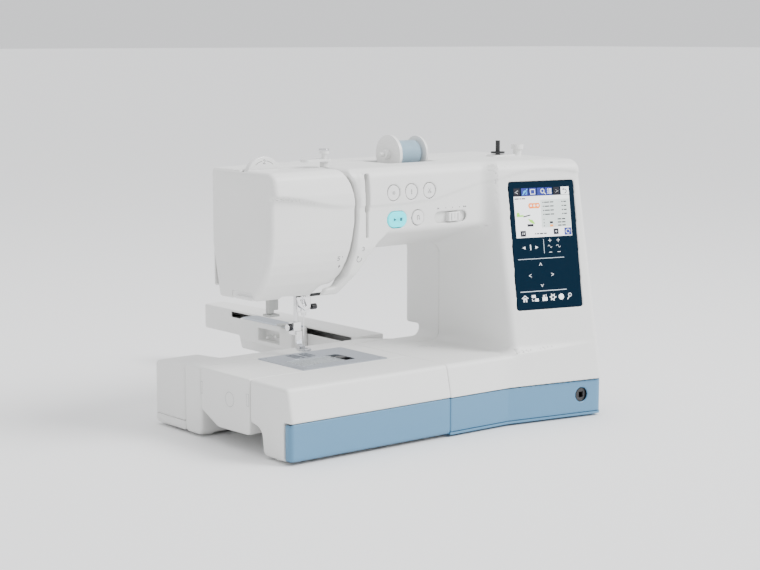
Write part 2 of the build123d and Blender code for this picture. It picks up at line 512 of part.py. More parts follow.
def make_top():
    x0, x1 = SPOOL_X
    y, z = SPOOL_Y, SPOOL_Z
    holder = rod((x1, y, z), (x1 + 3, y, z), 21)
    holder += block((x1 + 3, y - 7, BODY_TOP - 16.9), (x1 + 9, y + 7, z + 8))
    parts["spool_pin"] = holder + rod((232, y, z), (x1 + 6, y, z), 2.6)
    thread = rod((x0 + 5, y, z), (x1 - 4.5, y, z), THREAD_R) + rod((x0 + 4.5, y, z), (x1 - 0.5, y, z), 9)
    parts["thread_spool"] = thread - rod((x0, y, z), (x1, y, z), 2.6 + RUNNING)
    cap = rod((x0, y, z), (x0 + 4, y, z), SPOOL_CAP_R) + rod((x0 - 7, y, z), (x0, y, z), 6)
    parts["spool_cap"] = cap - rod((x0 - 8, y, z), (x1, y, z), 2.6 + RUNNING)
    post = (GUIDE_X + 7, GUIDE_Y + 5)
    plate = along_z(rectangle(GUIDE_X - 26, GUIDE_Y - 3, GUIDE_X + 14, GUIDE_Y + 12, 6), 326, 329)
    guide = rod((*post, BODY_TOP), (*post, 329), 5) + plate
    knob = rod((*post, 329), (*post, 335), 3) + rod((*post, 335), (*post, 340.5), 6)
    parts["thread_guide"] = guide + knob
    spindle = rod((WINDER_X, WINDER_Y, BODY_TOP - 22), (WINDER_X, WINDER_Y, 339), 2.9)
    spindle += rod((WINDER_X, WINDER_Y, 322.6), (WINDER_X, WINDER_Y, 325), 9)
    parts["winder_spindle"] = spindle + rod((WINDER_X, WINDER_Y, 297), (WINDER_X, WINDER_Y, 301), 12)
    sleeve = rod((WINDER_X, WINDER_Y, 302), (WINDER_X, WINDER_Y, 308), 10)
    bore = rod((WINDER_X, WINDER_Y, 300), (WINDER_X, WINDER_Y, 310), 2.9 + RUNNING)
    parts["winder_slide"] = sleeve - bore
    plan = rectangle(WINDER_X - 14, WINDER_Y - 9, STOPPER_X - 9, WINDER_Y + 9, 5)
    plate = along_z(plan, BODY_TOP, BODY_TOP + 2)
    plate -= pill_z(WINDER_X + 1.5, WINDER_Y, 7.5, 4.5, BODY_TOP - 1, BODY_TOP + 4)
    stopper = rod((STOPPER_X, WINDER_Y, BODY_TOP), (STOPPER_X, WINDER_Y, 333), 5.5)
    stopper += rod((STOPPER_X, WINDER_Y, 327), (STOPPER_X, WINDER_Y, 333), 8)
    parts["winder_base"] = Compound([plate.solid(), stopper.solid()])
    dial = rod((DIAL_X, DIAL_Y - 4, DIAL_Z), (DIAL_X, DIAL_Y + 4, DIAL_Z), DIAL_R)
    bore = rod((DIAL_X, 0, DIAL_Z), (DIAL_X, 300, DIAL_Z), 3 + RUNNING)
    parts["pressure_dial"] = fillet(dial.edges(), 1) - bore
    tension = rod((100, 96, 284), (118, 96, 284), 11) + rod((94, 96, 284), (100, 96, 284), 5)
    parts["tension_unit"] = tension + block((118, 86, 276), (122, 176.3, 292))
    parts["led_lamp"] = block((50, 120, 180), (72, 150, 183))


def unit_leg_profile(d):
    return [(-SKIRT_LIP + d, BAND_TOP), (SKIRT_DRAFT - SKIRT_LIP + d, BED_TOP - d, 4 - d),
            (FREE_ARM_FRONT - GAP - d, BED_TOP - d), (FREE_ARM_FRONT - GAP - d, 37 - d),
            (58 - d, 32 - d, 10), (54 - d, FOOT_HEIGHT, 5), (d, FOOT_HEIGHT), (d, BAND_TOP)]


def unit_back_form():
    """The cross piece behind the free arm and its shallow end behind the notch of the body."""
    back = BACK_BOX[1] - SEAM
    left = [(FREE_ARM_REAR + GAP, FOOT_HEIGHT, 6), (back, FOOT_HEIGHT, 6), (back, BED_TOP, 3),
            (FREE_ARM_REAR + GAP, BED_TOP)]
    right = [(BED_REAR + GAP, FOOT_HEIGHT), (back, FOOT_HEIGHT, 6), (back, BED_TOP, 3),
             (BED_REAR + GAP, BED_TOP)]
    form = along_x(left, 0, FREE_ARM_LENGTH) + along_x(right, FREE_ARM_LENGTH, UNIT_RIGHT)
    hollow = block((WALL, FREE_ARM_REAR + GAP + WALL, 0),
                   (FREE_ARM_LENGTH - WALL, back - WALL, BED_TOP - WALL))
    slope = Plane((266, 216, BED_TOP), x_dir=(31, -26, 0), z_dir=(0.17, 0.2, 1))
    bevel = slope * Box(300, 300, 100, align=(Align.CENTER, Align.CENTER, Align.MIN))
    bevel &= block((200, 150, 0), (400, 300, 200))
    return form - hollow - bevel


def make_unit():
    length = FREE_ARM_LENGTH
    x0, y0, x1, y1 = BACK_BOX
    leg = along_x(unit_leg_profile(0), 0, length)
    leg -= along_x(unit_leg_profile(WALL), WALL, length - WALL)
    leg -= block((-5, -5, 0), (300, 14.2, BAND_TOP + 0.1))
    unit = leg + unit_back_form() + block((66, 50, 4), (100, 190, 17))
    for x, y in ((14, 34), (210, 34), (20, 198), (285, 204), (16, 262)):
        unit += rod((x, y, 0), (x, y, FOOT_HEIGHT + 3), 8)
    band = along_x([(0, FOOT_HEIGHT + 0.5, 5), (0, BAND_TOP - SEAM), (14, BAND_TOP - SEAM, 4),
                    (14, FOOT_HEIGHT + 0.5)], 0, length)
    parts["unit_band"] = band - block((WALL, WALL, 0), (300, 60, 100))
    box = block((x0, y0, 15.3), (x1, y1, 84))
    box = fillet(box.edges().filter_by(Axis.Z), 5)
    box = fillet(box.edges().group_by(Axis.Z)[-1], 3)
    parts["unit_motor_box"] = box - block((x0 + WALL, y0 + WALL, 0), (x1 - WALL, y1 - WALL, 84 - WALL))
    base = block((x0, y0, FOOT_HEIGHT), (x1, y1, 15))
    base = fillet(base.edges().filter_by(Axis.Z), 5)
    base = fillet(base.edges().group_by(Axis.Z)[0], 5)
    housing = block((x1, y0, FOOT_HEIGHT), (UNIT_RIGHT, y0 + 40, RAIL_TOP))
    housing -= block((x1 + WALL, y0 + WALL, 6), (UNIT_RIGHT - WALL, y0 + 40 - WALL, RAIL_TOP - WALL))
    housing -= block((124, y0 + 10, 20), (UNIT_RIGHT - 1, y0 + 26, 40))
    foot = block((x0 + 6, y0 - 4, 6), (UNIT_RIGHT - 6, y0 + 1, 15))
    parts["unit_case"] = unit + base + housing + foot
    rails = [rod((x1 + 3, y0 + dy, 12), (UNIT_RIGHT - 3, y0 + dy, 12), 3) for dy in (12, 28)]
    motor = rod((30, 240, 30), (30, 240, 70), 18) + rod((30, 240, 70), (30, 240, 76), 6)
    parts["unit_drive"] = Compound([*rails, motor.solid()])


def carriage_arm_form(d):
    """The long arm that carries the hoop, d mm inside; its rear end is shallower."""
    x0, x1 = CARRIAGE_ARM_X
    y0, y1 = CARRIAGE_ARM_Y
    step = CARRIAGE_ARM_STEP_Y
    side = [(y0 + d, CARRIAGE_ARM_LOW + d), (step - 3 - d, CARRIAGE_ARM_LOW + d, 3),
            (step + 3 - d, 53 + d, 4), (y1 - d, 53 + d, 4), (y1 - d, CARRIAGE_ARM_TOP - d, 3),
            (y0 + d, CARRIAGE_ARM_TOP - d)]
    plan = [(x0 + d, y0), (x1 - d, y0), (x1 - d, 480), (x1 - 8 - d, y1 - d, 10), (x0 + d, y1 - d, 4)]
    return along_x(side, x0 + d, x1 - d) & along_z(plan, 0, 200)


def make_carriage():
    x0, x1 = CARRIAGE_ARM_X
    y0, y1 = CARRIAGE_ARM_Y
    arm = carriage_arm_form(0) - carriage_arm_form(WALL)
    arm -= block((x0 - 5, SLOT_Y[0], SLOT_Z[0]), (x0 + 5, SLOT_Y[1], SLOT_Z[1]))
    arm += block((276, y0 + 11, 22), (298, y0 + 22, CARRIAGE_ARM_LOW + 1))
    parts["carriage_arm"] = arm
    rails = [rod((x, y0 + 4, 66), (x, y1 - 30, 66), 2.5) for x in (284, 294)]
    parts["carriage_rails"] = Compound([*rails])
    c0, c1 = CARRIAGE_Y
    body = block((x0 - 27, c0, 55), (x0 - GAP, c1, 86))
    body = fillet(body.edges().filter_by(Axis.Z), 3)
    body -= block((x0 - 30, c0 + 52, 62), (x0 - 8, c1 - 24, 80))
    stem = block((x0 - 1, c0 + 25, SLOT_Z[0] + 1), (x0 + 8, c1 - 25, SLOT_Z[1] - 1))
    stem += block((x0 + 4, c0 + 25, 70), (x0 + 12, c1 - 25, SLOT_Z[1] - 1))
    parts["hoop_carriage"] = body + stem
    parts["hoop_mount_plate"] = along_z(rectangle(x0 - 26, c0 + 4, x0 - 2, c1 - 6, 3), 86, 87.6)
    lever = along_z([(x0 - 34, c0 + 26, 3), (x0 - 34, c0 + 12, 2), (x0 - 20, c0 + 12, 3),
                     (x0 - 20, c0 + 26, 3)], 88, 90.5)
    parts["hoop_clamp_lever"] = lever + rod((x0 - 24, c0 + 19, 87.6), (x0 - 24, c0 + 19, 88), 2)


def make_sockets():
    y, z = SOCKET_Y, SOCKET_Z
    panel = block((458, y - 26.7, z - 10.7), (462.6, y + 26.7, z + 10.7))
    panel -= block((460, y + 4, z - 7), (470, y + 22, z + 7))
    panel -= block((450, y - 22, z - 8), (470, y - 4, z + 8))
    parts["power_inlet"] = panel
    parts["power_switch"] = block((459.5, y - 21.6, z - 7.6), (464.5, y - 4.4, z + 7.6))
    face_y = knee_face_y(KNEE_X)
    shaft = rod((KNEE_X, face_y + 1.5, KNEE_Z), (KNEE_X, face_y + 60, KNEE_Z), KNEE_R + 3.2)
    square = block((KNEE_X - 3.5, face_y - 1, KNEE_Z - 3.5), (KNEE_X + 3.5, face_y + 30, KNEE_Z + 3.5))
    parts["knee_lift_socket"] = shaft - square
    screws = []
    for x, z in REAR_SCREWS:
        head = rod((x, BODY_REAR - 2.6, z), (x, BODY_REAR - 0.4, z), 3.6)
        head -= block((x - 2.4, BODY_REAR - 1.2, z - 0.4), (x + 2.4, BODY_REAR, z + 0.4))
        screws.append(head.solid())
    parts["case_screws"] = Compound(screws)


def knee_face_y(x):
    """Where the turned front of the blue band is at x."""
    return FRONT_RIGHT_Y * (x - KINK_X) / (BODY_RIGHT - KINK_X)


def make_all():
    electronics = []
    make_controls(electronics)
    make_screen(electronics)
    parts["display_and_boards"] = Compound(electronics)
    for make in (make_cases, make_base, make_free_arm, make_needle_plate, make_face_cover, make_frame,
                 make_drive, make_needle_gear, make_top, make_unit, make_carriage, make_sockets):
        make()


def origin_shift():
    """From the working frame's origin to the bottom centre of everything."""
    box = Compound([solid for part in parts.values() for solid in part.solids()]).bounding_box()
    return Vector((box.min.X + box.max.X) / 2, (box.min.Y + box.max.Y) / 2, 0)


def main():
    make_all()
    shift = origin_shift()
    print("origin", shift)
    os.makedirs("parts", exist_ok=True)
    for name, part in parts.items():
        moved = Compound(part.solids()) if len(part.solids()) > 1 else part.solid()
        export_step(moved.moved(Location(-shift)), f"parts/{name}.step")


if __name__ == "__main__":
    main()
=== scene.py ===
import math
import bpy
import numpy as np
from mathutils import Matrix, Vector


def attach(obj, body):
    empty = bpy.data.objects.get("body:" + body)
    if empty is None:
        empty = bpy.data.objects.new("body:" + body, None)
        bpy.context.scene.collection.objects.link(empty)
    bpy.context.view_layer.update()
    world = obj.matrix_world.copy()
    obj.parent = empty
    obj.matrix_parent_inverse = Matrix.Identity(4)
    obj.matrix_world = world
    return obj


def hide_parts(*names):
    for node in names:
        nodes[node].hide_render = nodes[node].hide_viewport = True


# An embroidery machine. The shells are made here as smooth skins with rounded edges and blends; the
# mechanism, plates and small parts are the frame's own. Lengths are mm from the bed's front left bottom
# corner, +X right, +Y back, +Z up, and every mesh is written in the frame's metres.
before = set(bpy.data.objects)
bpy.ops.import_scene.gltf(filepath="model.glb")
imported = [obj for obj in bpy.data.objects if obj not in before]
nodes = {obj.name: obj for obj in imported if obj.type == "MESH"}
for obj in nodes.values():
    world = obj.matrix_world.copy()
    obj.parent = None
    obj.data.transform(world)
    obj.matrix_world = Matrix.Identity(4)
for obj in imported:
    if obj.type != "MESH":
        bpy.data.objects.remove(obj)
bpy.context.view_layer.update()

ORIGIN = np.array((242.0, 276.5, 0.0))
WALL = 2.6
BED_TOP, BAND_TOP = 86.5, 47.5
BODY_RIGHT, BODY_REAR, BODY_TOP = 463.5, 218.0, 319.0
KINK_X = 326.0
COLUMN_LEFT = 342.0
SPLIT_Y, SEAM = 149.0, 0.4
BED_REAR, NOTCH_RIGHT, NOTCH_TOP = 190.0, 400.0, 97.0
TOWER_LEAN, TOWER_TURN, TOWER_FOOT_Y = 0.1825, -0.245, -28.0
SKIRT_SLOPE, SKIRT_LIP = 0.231, 1.5
ARM_FRONT, ARM_LOW_FRONT, ARM_LOW = 57.0, 241.0, 212.0
HEAD_LEFT, HEAD_LOW, HEAD_REAR = 23.8, 171.0, 188.0
COVER_LOW, COVER_TOP_REAR = 169.0, 118.0
FREE_ARM_Y, FREE_ARM_LENGTH = (80.0, 180.5), 232.4
PLATE_X, PLATE_Y = (80.0, 205.0), (84.0, 178.0)
NEEDLE_Y, PRESSER_Y, SHAFT_Z = 157.0, 173.0, 272.0
BUTTONS = {"lock_stitch_button": (191.4, 288.8, 9.0), "needle_position_button": (218.5, 288.8, 9.0),
           "thread_cutter_button": (246.4, 288.8, 9.0), "reverse_button": (228.9, 257.5, 8.8)}
START_X, START_Z, START_W, START_H = 197.3, 257.2, 14.0, 9.3
SLIDER_X, SLIDER_Z, SLIDER_HALF = 281.0, 255.2, 25.5
GLASS_X, GLASS_Z = (358.0, 447.5), (138.0, 293.0)
KNEE_X, KNEE_Z = 432.5, 28.9
SPOOL_X, SPOOL_Y = (245.0, 289.0), 133.0
DIAL_X, DIAL_Y, DIAL_R = 56.0, 130.0, 24.5
WINDER_X, WINDER_Y = 416.0, 121.0
UNIT_RIGHT, UNIT_REAR = 312.0, 216.0
MOTOR_BOX = ((0.0, 216.4, 15.3), (63.0, 283.0, 84.0))
ARM_X, ARM_Y = (266.0, 308.0), (218.4, 581.0)
SLOT_Y, SLOT_Z = (234.0, 511.0), (77.0, 84.5)
CARRIAGE_Y = (328.0, 451.0)
UNIT_FEET = ((14, 34), (210, 34), (20, 198), (285, 204), (16, 262))
REAR_SCREWS = ((360, 130), (445, 130), (445, 295), (250, 295), (180, 230))
GUIDE_POST_X, GUIDE_POST_Y = 129.6, 109.5
FOOT_SCREW_X, FOOT_SCREW_Z = 123.4, 121.0


# ---- finishes ----
def new_material(name, colour, roughness, metallic=0.0):
    material = bpy.data.materials.new(name)
    material.use_nodes = True
    shader = material.node_tree.nodes["Principled BSDF"]
    shader.inputs["Base Color"].default_value = (*colour, 1)
    shader.inputs["Roughness"].default_value = roughness
    shader.inputs["Metallic"].default_value = metallic
    return material, shader


def noise(material, scale, detail=3.0, stretch=(1, 1, 1)):
    """A noise field in the object's own metres; scale is features per metre."""
    tree = material.node_tree
    where = tree.nodes.new("ShaderNodeTexCoord")
    mapping = tree.nodes.new("ShaderNodeMapping")
    mapping.inputs["Scale"].default_value = stretch
    texture = tree.nodes.new("ShaderNodeTexNoise")
    texture.inputs["Scale"].default_value = scale
    texture.inputs["Detail"].default_value = detail
    tree.links.new(where.outputs["Object"], mapping.inputs["Vector"])
    tree.links.new(mapping.outputs["Vector"], texture.inputs["Vector"])
    return texture.outputs["Fac"]


def spread(material, source, low, high, socket):
    """Maps a 0.3-0.7 noise to a range of values on a shader socket."""
    tree = material.node_tree
    ramp = tree.nodes.new("ShaderNodeMapRange")
    ramp.inputs["From Min"].default_value = 0.3
    ramp.inputs["From Max"].default_value = 0.7
    ramp.inputs["To Min"].default_value = low
    ramp.inputs["To Max"].default_value = high
    tree.links.new(source, ramp.inputs["Value"])
    tree.links.new(ramp.outputs["Result"], socket)


def tint(material, shader, source, dark, light):
    tree = material.node_tree
    ramp = tree.nodes.new("ShaderNodeValToRGB")
    ramp.color_ramp.elements[0].position = 0.3
    ramp.color_ramp.elements[1].position = 0.7
    ramp.color_ramp.elements[0].color = (*dark, 1)
    ramp.color_ramp.elements[1].color = (*light, 1)
    tree.links.new(source, ramp.inputs["Fac"])
    tree.links.new(ramp.outputs["Color"], shader.inputs["Base Color"])


def bump(material, shader, source, depth_mm, strength=0.5):
    tree = material.node_tree
    node = tree.nodes.new("ShaderNodeBump")
    node.inputs["Distance"].default_value = depth_mm / 1000
    node.inputs["Strength"].default_value = strength
    tree.links.new(source, node.inputs["Height"])
    tree.links.new(node.outputs["Normal"], shader.inputs["Normal"])


def moulded(name, colour, roughness=0.42, grain_mm=0.45, coat=0.0):
    """Injection-moulded plastic: a fine spark-eroded grain, slight gloss and shade variation."""
    material, shader = new_material(name, colour, roughness)
    grain = noise(material, 1000 / grain_mm, 2)
    cloud = noise(material, 9, 4)
    tint(material, shader, cloud, [c * 0.975 for c in colour], [min(c * 1.012, 1) for c in colour])
    spread(material, grain, roughness - 0.05, roughness + 0.06, shader.inputs["Roughness"])
    bump(material, shader, grain, 0.05, 0.35)
    shader.inputs["Coat Weight"].default_value = coat
    shader.inputs["Coat Roughness"].default_value = 0.12
    return material


def metal(name, colour, roughness, brush=(1, 1, 1), grain_mm=0.3):
    """Bare metal; brush stretches the scratches along one axis."""
    material, shader = new_material(name, colour, roughness, 1.0)
    scratches = noise(material, 1000 / grain_mm, 3, brush)
    tint(material, shader, scratches, [c * 0.86 for c in colour], colour)
    spread(material, scratches, max(roughness - 0.07, 0.03), roughness + 0.1,
           shader.inputs["Roughness"])
    bump(material, shader, scratches, 0.02, 0.3)
    return material


def clear(name, colour, roughness, alpha):
    """Clear moulded plastic with faint flow lines."""
    material, shader = new_material(name, colour, roughness)
    shader.inputs["IOR"].default_value = 1.49
    shader.inputs["Alpha"].default_value = alpha
    flow = noise(material, 180, 2, (1, 4, 1))
    spread(material, flow, roughness, roughness + 0.08, shader.inputs["Roughness"])
    bump(material, shader, flow, 0.05, 0.2)
    return material


def wound_thread(name, colour):
    """Glossy embroidery thread wound in fine turns round the X axis, with painted shade between the
    turns.
    """
    material, shader = new_material(name, colour, 0.35)
    tree = material.node_tree
    where = tree.nodes.new("ShaderNodeTexCoord")
    wave = tree.nodes.new("ShaderNodeTexWave")
    wave.bands_direction = "X"
    wave.inputs["Scale"].default_value = 520
    wave.inputs["Distortion"].default_value = 1.2
    wave.inputs["Detail Scale"].default_value = 60
    tree.links.new(where.outputs["Object"], wave.inputs["Vector"])
    # The wave darkens the thread's colour between turns: painted shade in the grooves of the winding.
    tint(material, shader, wave.outputs["Fac"], [c * 0.62 for c in colour], colour)
    bump(material, shader, wave.outputs["Fac"], 0.25, 0.8)
    shader.inputs["Sheen Weight"].default_value = 0.4
    shader.inputs["Anisotropic"].default_value = 0.5
    return material


def glowing(name, colour, strength):
    """A lit plastic cap or lens, a little brighter where the light behind it is close."""
    material, shader = new_material(name, colour, 0.3)
    spread(material, noise(material, 60), strength * 0.85, strength, shader.inputs["Emission Strength"])
    shader.inputs["Emission Color"].default_value = (*colour, 1)
    return material


def ink(name, colour, roughness=0.45):
    material, shader = new_material(name, colour, roughness)
    bump(material, shader, noise(material, 2500), 0.02, 0.3)
    return material


WHITE = moulded("white_shell", (0.80, 0.80, 0.785))
SHADE_WHITE = moulded("white_trim", (0.76, 0.765, 0.75), 0.36)
GLOSS_WHITE = moulded("white_gloss", (0.82, 0.82, 0.81), 0.25, 0.9, 0.4)
BLUE = moulded("blue_shell", (0.095, 0.235, 0.38), 0.40)
BLACK = moulded("dark_plastic", (0.012, 0.012, 0.014), 0.34)
GREY = moulded("grey_plastic", (0.42, 0.43, 0.42), 0.4)
RUBBER = moulded("rubber", (0.02, 0.02, 0.021), 0.75, 0.8)
CHROME = metal("chrome", (0.80, 0.80, 0.81), 0.09)
STEEL = metal("steel", (0.56, 0.56, 0.57), 0.26, (1, 1, 0.15))
PLATE_STEEL = metal("plate_steel", (0.53, 0.57, 0.63), 0.34, (0.06, 1, 1), 0.4)
CAST = metal("cast_alloy", (0.50, 0.50, 0.50), 0.5, grain_mm=1.2)
CLEAR = clear("clear_plastic", (0.80, 0.86, 0.90), 0.08, 0.35)
LENS = glowing("lamp_lens", (1.0, 0.96, 0.86), 1.5)
START = glowing("start_light", (0.0, 0.80, 0.90), 0.75)
SCREEN = moulded("screen_glass", (0.002, 0.012, 0.026), 0.34, 4.0)
SCREEN.node_tree.nodes["Principled BSDF"].inputs["Specular IOR Level"].default_value = 0.05
THREAD = wound_thread("thread_blue", (0.33, 0.52, 0.66))
INK = ink("ink_grey", (0.10, 0.10, 0.11))
# This pale grey serves printed marks, and also the painted groove shade on the free arm's end.
PALE_INK_AND_SHADE = ink("ink_pale_and_painted_shade", (0.45, 0.46, 0.46))

CAD_FINISH = {
    "base_tray": BLUE, "rubber_feet": RUBBER, "needle_plate": PLATE_STEEL, "hook_cover": CLEAR,
              "hook_cover_release": BLACK,
    "feed_dog": STEEL, "lock_stitch_button": GLOSS_WHITE, "needle_position_button": GLOSS_WHITE,
    "thread_cutter_button": GLOSS_WHITE, "reverse_button": GLOSS_WHITE, "start_stop_button": START,
    # display_and_boards takes the dark plastic: this is the display's own black, and painted shade on
    # the boards seen through the front's openings.
    "speed_slider": GLOSS_WHITE, "display_and_boards": BLACK, "touch_glass": SCREEN, "main_frame": CAST,
              "upper_shaft": STEEL,
    "handwheel": WHITE, "lower_shaft": STEEL, "main_motor": STEEL, "motor_pulley": STEEL,
              "drive_belts": RUBBER,
    "bobbin_hook": STEEL, "bobbin_case": BLACK, "bobbin": CLEAR, "needle_bar": CHROME,
              "needle_clamp_screw": BLACK,
    "needle": CHROME, "presser_bar": CHROME, "embroidery_foot": CHROME, "take_up_lever": CHROME,
              "presser_lever": GREY,
    "needle_threader": GREY, "spool_pin": SHADE_WHITE, "thread_spool": THREAD, "spool_cap": GLOSS_WHITE,
    "thread_guide": GLOSS_WHITE, "winder_spindle": BLACK, "winder_slide": GREY,
              "winder_base": GLOSS_WHITE,
    "pressure_dial": GLOSS_WHITE, "tension_unit": STEEL, "led_lamp": LENS, "unit_drive": STEEL,
              "carriage_rails": STEEL,
    "hoop_mount_plate": PLATE_STEEL, "hoop_clamp_lever": GREY, "power_inlet": BLACK,
              "power_switch": BLACK,
    "knee_lift_socket": BLACK, "case_screws": STEEL,
}


def finish_node(name, material):
    part = nodes[name]
    if not part.data.materials:
        part.data.materials.append(material)
    for k in range(len(part.material_slots)):
        part.material_slots[k].material = material


for node_name, node_finish in CAD_FINISH.items():
    finish_node(node_name, node_finish)


# ---- fields: negative inside, in mm, sampled on a grid ----
def meet(a, b, radius=0.0):
    """The common part of two solids; the edge between them is rounded."""
    if radius <= 0:
        return np.maximum(a, b)
    return np.minimum(np.maximum(a, b), -radius) + np.hypot(np.maximum(a + radius, 0),
                                                            np.maximum(b + radius, 0))


def join(a, b, radius=0.0):
    """Two solids as one; the inside corner between them is filled to the radius."""
    return -meet(-a, -b, radius)


def cut(a, b, radius=0.0):
    return meet(a, -b, radius)


def block(X, Y, Z, low, high, radius=0.0):
    reach = [np.abs(C - (a + b) / 2) - ((b - a) / 2 - radius) for C, a, b in zip((X, Y, Z), low, high)]
    outside = np.sqrt(sum(np.maximum(r, 0) ** 2 for r in reach))
    return outside + np.minimum(np.maximum(np.maximum(reach[0], reach[1]), reach[2]), 0) - radius


def rod(U, V, u, v, radius):
    return np.hypot(U - u, V - v) - radius


def pill(U, V, u, v, half_u, half_v):
    """A slot with round ends, along U."""
    return np.hypot(np.maximum(np.abs(U - u) - (half_u - half_v), 0), V - v) - half_v


def rounded(points):
    """A closed outline whose corners with a third number are replaced by arcs of that radius."""
    result = []
    for k, corner in enumerate(points):
        here = Vector(corner[:2])
        if len(corner) < 3:
            result.append(here)
            continue
        to_last = (Vector(points[k - 1][:2]) - here).normalized()
        to_next = (Vector(points[(k + 1) % len(points)][:2]) - here).normalized()
        half = to_last.angle(to_next) / 2
        centre = here + (to_last + to_next).normalized() * corner[2] / math.sin(half)
        first = here + to_last * corner[2] / math.tan(half) - centre
        last = here + to_next * corner[2] / math.tan(half) - centre
        for t in np.linspace(0, 1, 7):
            spoke = first.lerp(last, t).normalized() * corner[2]
            result.append(centre + spoke)
    return result


def prism(U, V, points):
    """Signed distance to a closed outline in the U, V plane."""
    line = rounded(points)
    nearest = np.full(np.broadcast(U, V).shape, 1e9, np.float32)
    inside = np.zeros(nearest.shape, bool)
    for (u0, v0), (u1, v1) in zip(line, line[1:] + line[:1]):
        du, dv = u1 - u0, v1 - v0
        length = du * du + dv * dv
        if length < 1e-9:
            continue
        t = np.clip(((U - u0) * du + (V - v0) * dv) / length, 0, 1)
        nearest = np.minimum(nearest, np.hypot(U - u0 - t * du, V - v0 - t * dv))
        if v0 != v1:
            inside ^= ((V >= v0) != (V >= v1)) & (U < u0 + du * (V - v0) / dv)
    return np.where(inside, -nearest, nearest)


def smooth(t):
    t = np.clip(t, 0, 1)
    return t * t * (3 - 2 * t)


CORNERS = np.array([(i, j, k) for i in (0, 1) for j in (0, 1) for k in (0, 1)])
CELL_EDGES = [(a, b) for a in range(8) for b in range(a + 1,
                                                      8) if np.abs(CORNERS[a] - CORNERS[b]).sum() == 1]


def zero_surface(values):
    """Points and quads on the zero surface of a sampled field, one point in each crossed cell."""
    size = np.array(values.shape) - 1
    inside = values < 0
    signs = sum(inside[a:a + size[0], b:b + size[1], c:c + size[2]].astype(np.int8) for a, b,
                c in CORNERS)
    cells = np.argwhere((signs > 0) & (signs < 8))
    corner = np.stack([values[tuple((cells + c).T)] for c in CORNERS])
    total, hits = np.zeros(cells.shape), np.zeros(len(cells))
    for a, b in CELL_EDGES:
        crossed = (corner[a] < 0) != (corner[b] < 0)
        share = np.where(crossed, corner[a] / np.where(crossed, corner[a] - corner[b], 1), 0)
        total += crossed[:, None] * (CORNERS[a] + share[:, None] * (CORNERS[b] - CORNERS[a]))
        hits += crossed
    number = np.full(size, -1, np.int32)
    number[tuple(cells.T)] = np.arange(len(cells))
    quads = []
    for axis in range(3):
        order = (axis, (axis + 1) % 3, (axis + 2) % 3)
        solid, index = inside.transpose(order), number.transpose(order)
        first, second = solid[:-1, 1:-1, 1:-1], solid[1:, 1:-1, 1:-1]
        i, j, k = np.argwhere(first != second).T
        ring = np.stack([index[i, j, k], index[i, j + 1, k], index[i, j + 1, k + 1],
                         index[i, j, k + 1]], 1)
        outward = first[i, j, k]
        quads += [ring[outward], ring[~outward][:, ::-1]]
    return cells + total / hits[:, None], np.concatenate(quads)


def mesh_object(name, points_mm, faces, material, body):
    """A mesh piece in the frame's metres, riding on a body."""
    mesh = bpy.data.meshes.new(name)
    points = (np.asarray(points_mm, float) - ORIGIN) / 1000
    mesh.from_pydata(points.tolist(), [], [tuple(map(int, f)) for f in faces])
    mesh.validate()
    mesh.update()
    mesh.materials.append(material)
    piece = bpy.data.objects.new(name, mesh)
    bpy.context.scene.collection.objects.link(piece)
    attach(piece, body)
    return piece


def skin(name, field, low, high, step, material, body, slot, replaces=(), keep=1.0):
    """A smooth piece from a field, sampled every step mm inside the box."""
    axes = [np.arange(a - 1.5 * step, b + 2.5 * step, step, dtype=np.float32) for a,
            b in zip(low, high)]
    X, Y, Z = axes[0][:, None, None], axes[1][None, :, None], axes[2][None, None, :]
    values = np.broadcast_to(field(X, Y, Z), [len(a) for a in axes]).astype(np.float32)
    points, quads = zero_surface(values)
    points = points * step + np.array([a[0] for a in axes])
    piece = mesh_object(name, points, quads, material, body)
    piece.data.shade_smooth()
    if keep < 1:
        thin = piece.modifiers.new("thin", "DECIMATE")
        thin.ratio = keep
    for node in replaces:
        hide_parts(node)
    return piece


# ---- the machine's fixed outer form ----
def bed_front(X, Z):
    turn = (X - KINK_X) / (BODY_RIGHT - KINK_X)
    turn = (turn + np.sqrt(turn * turn + 0.003)) / 2
    low = -SKIRT_LIP + (TOWER_FOOT_Y + SKIRT_LIP) * turn
    return low + (SKIRT_SLOPE - (SKIRT_SLOPE - TOWER_LEAN) * turn) * (Z - BAND_TOP)


def crease(X):
    """Height of the soft line that runs along the arm, rises beside the screen and passes over it."""
    places = (149, 205, 255, 305, 346, 370, 394, 418, 443, 465)
    heights = (275, 275, 277.5, 288.7, 297, 303, 306.6, 307, 305, 301)
    return np.interp(X, places, heights)


def brow(X, Z):
    """How far the surface stands out above that line."""
    return 2.0 * smooth((Z - crease(X)) / 3.5 + 0.5)


def tower_y(X, Z):
    return TOWER_FOOT_Y + TOWER_LEAN * (Z - BAND_TOP) + TOWER_TURN * (X - BODY_RIGHT)


def arm_front_field(X, Y, Z):
    return ARM_FRONT + 3 * np.clip((Z - 289) / 30, 0, 1) - 0.8 * brow(X, Z) - Y


def tower_front_field(X, Y, Z):
    return (tower_y(X, Z) - brow(X, Z) - Y) / 1.047


def bed_front_field(X, Y, Z):
    return (bed_front(X, Z) - Y) / 1.03


def arm_field(X, Y, Z):
    form = meet(arm_front_field(X, Y, Z), (ARM_LOW_FRONT - 0.315 * (Y - ARM_FRONT) - Z) / 1.048, 6)
    return np.maximum(np.maximum(form, ARM_LOW - Z), 150 - X)


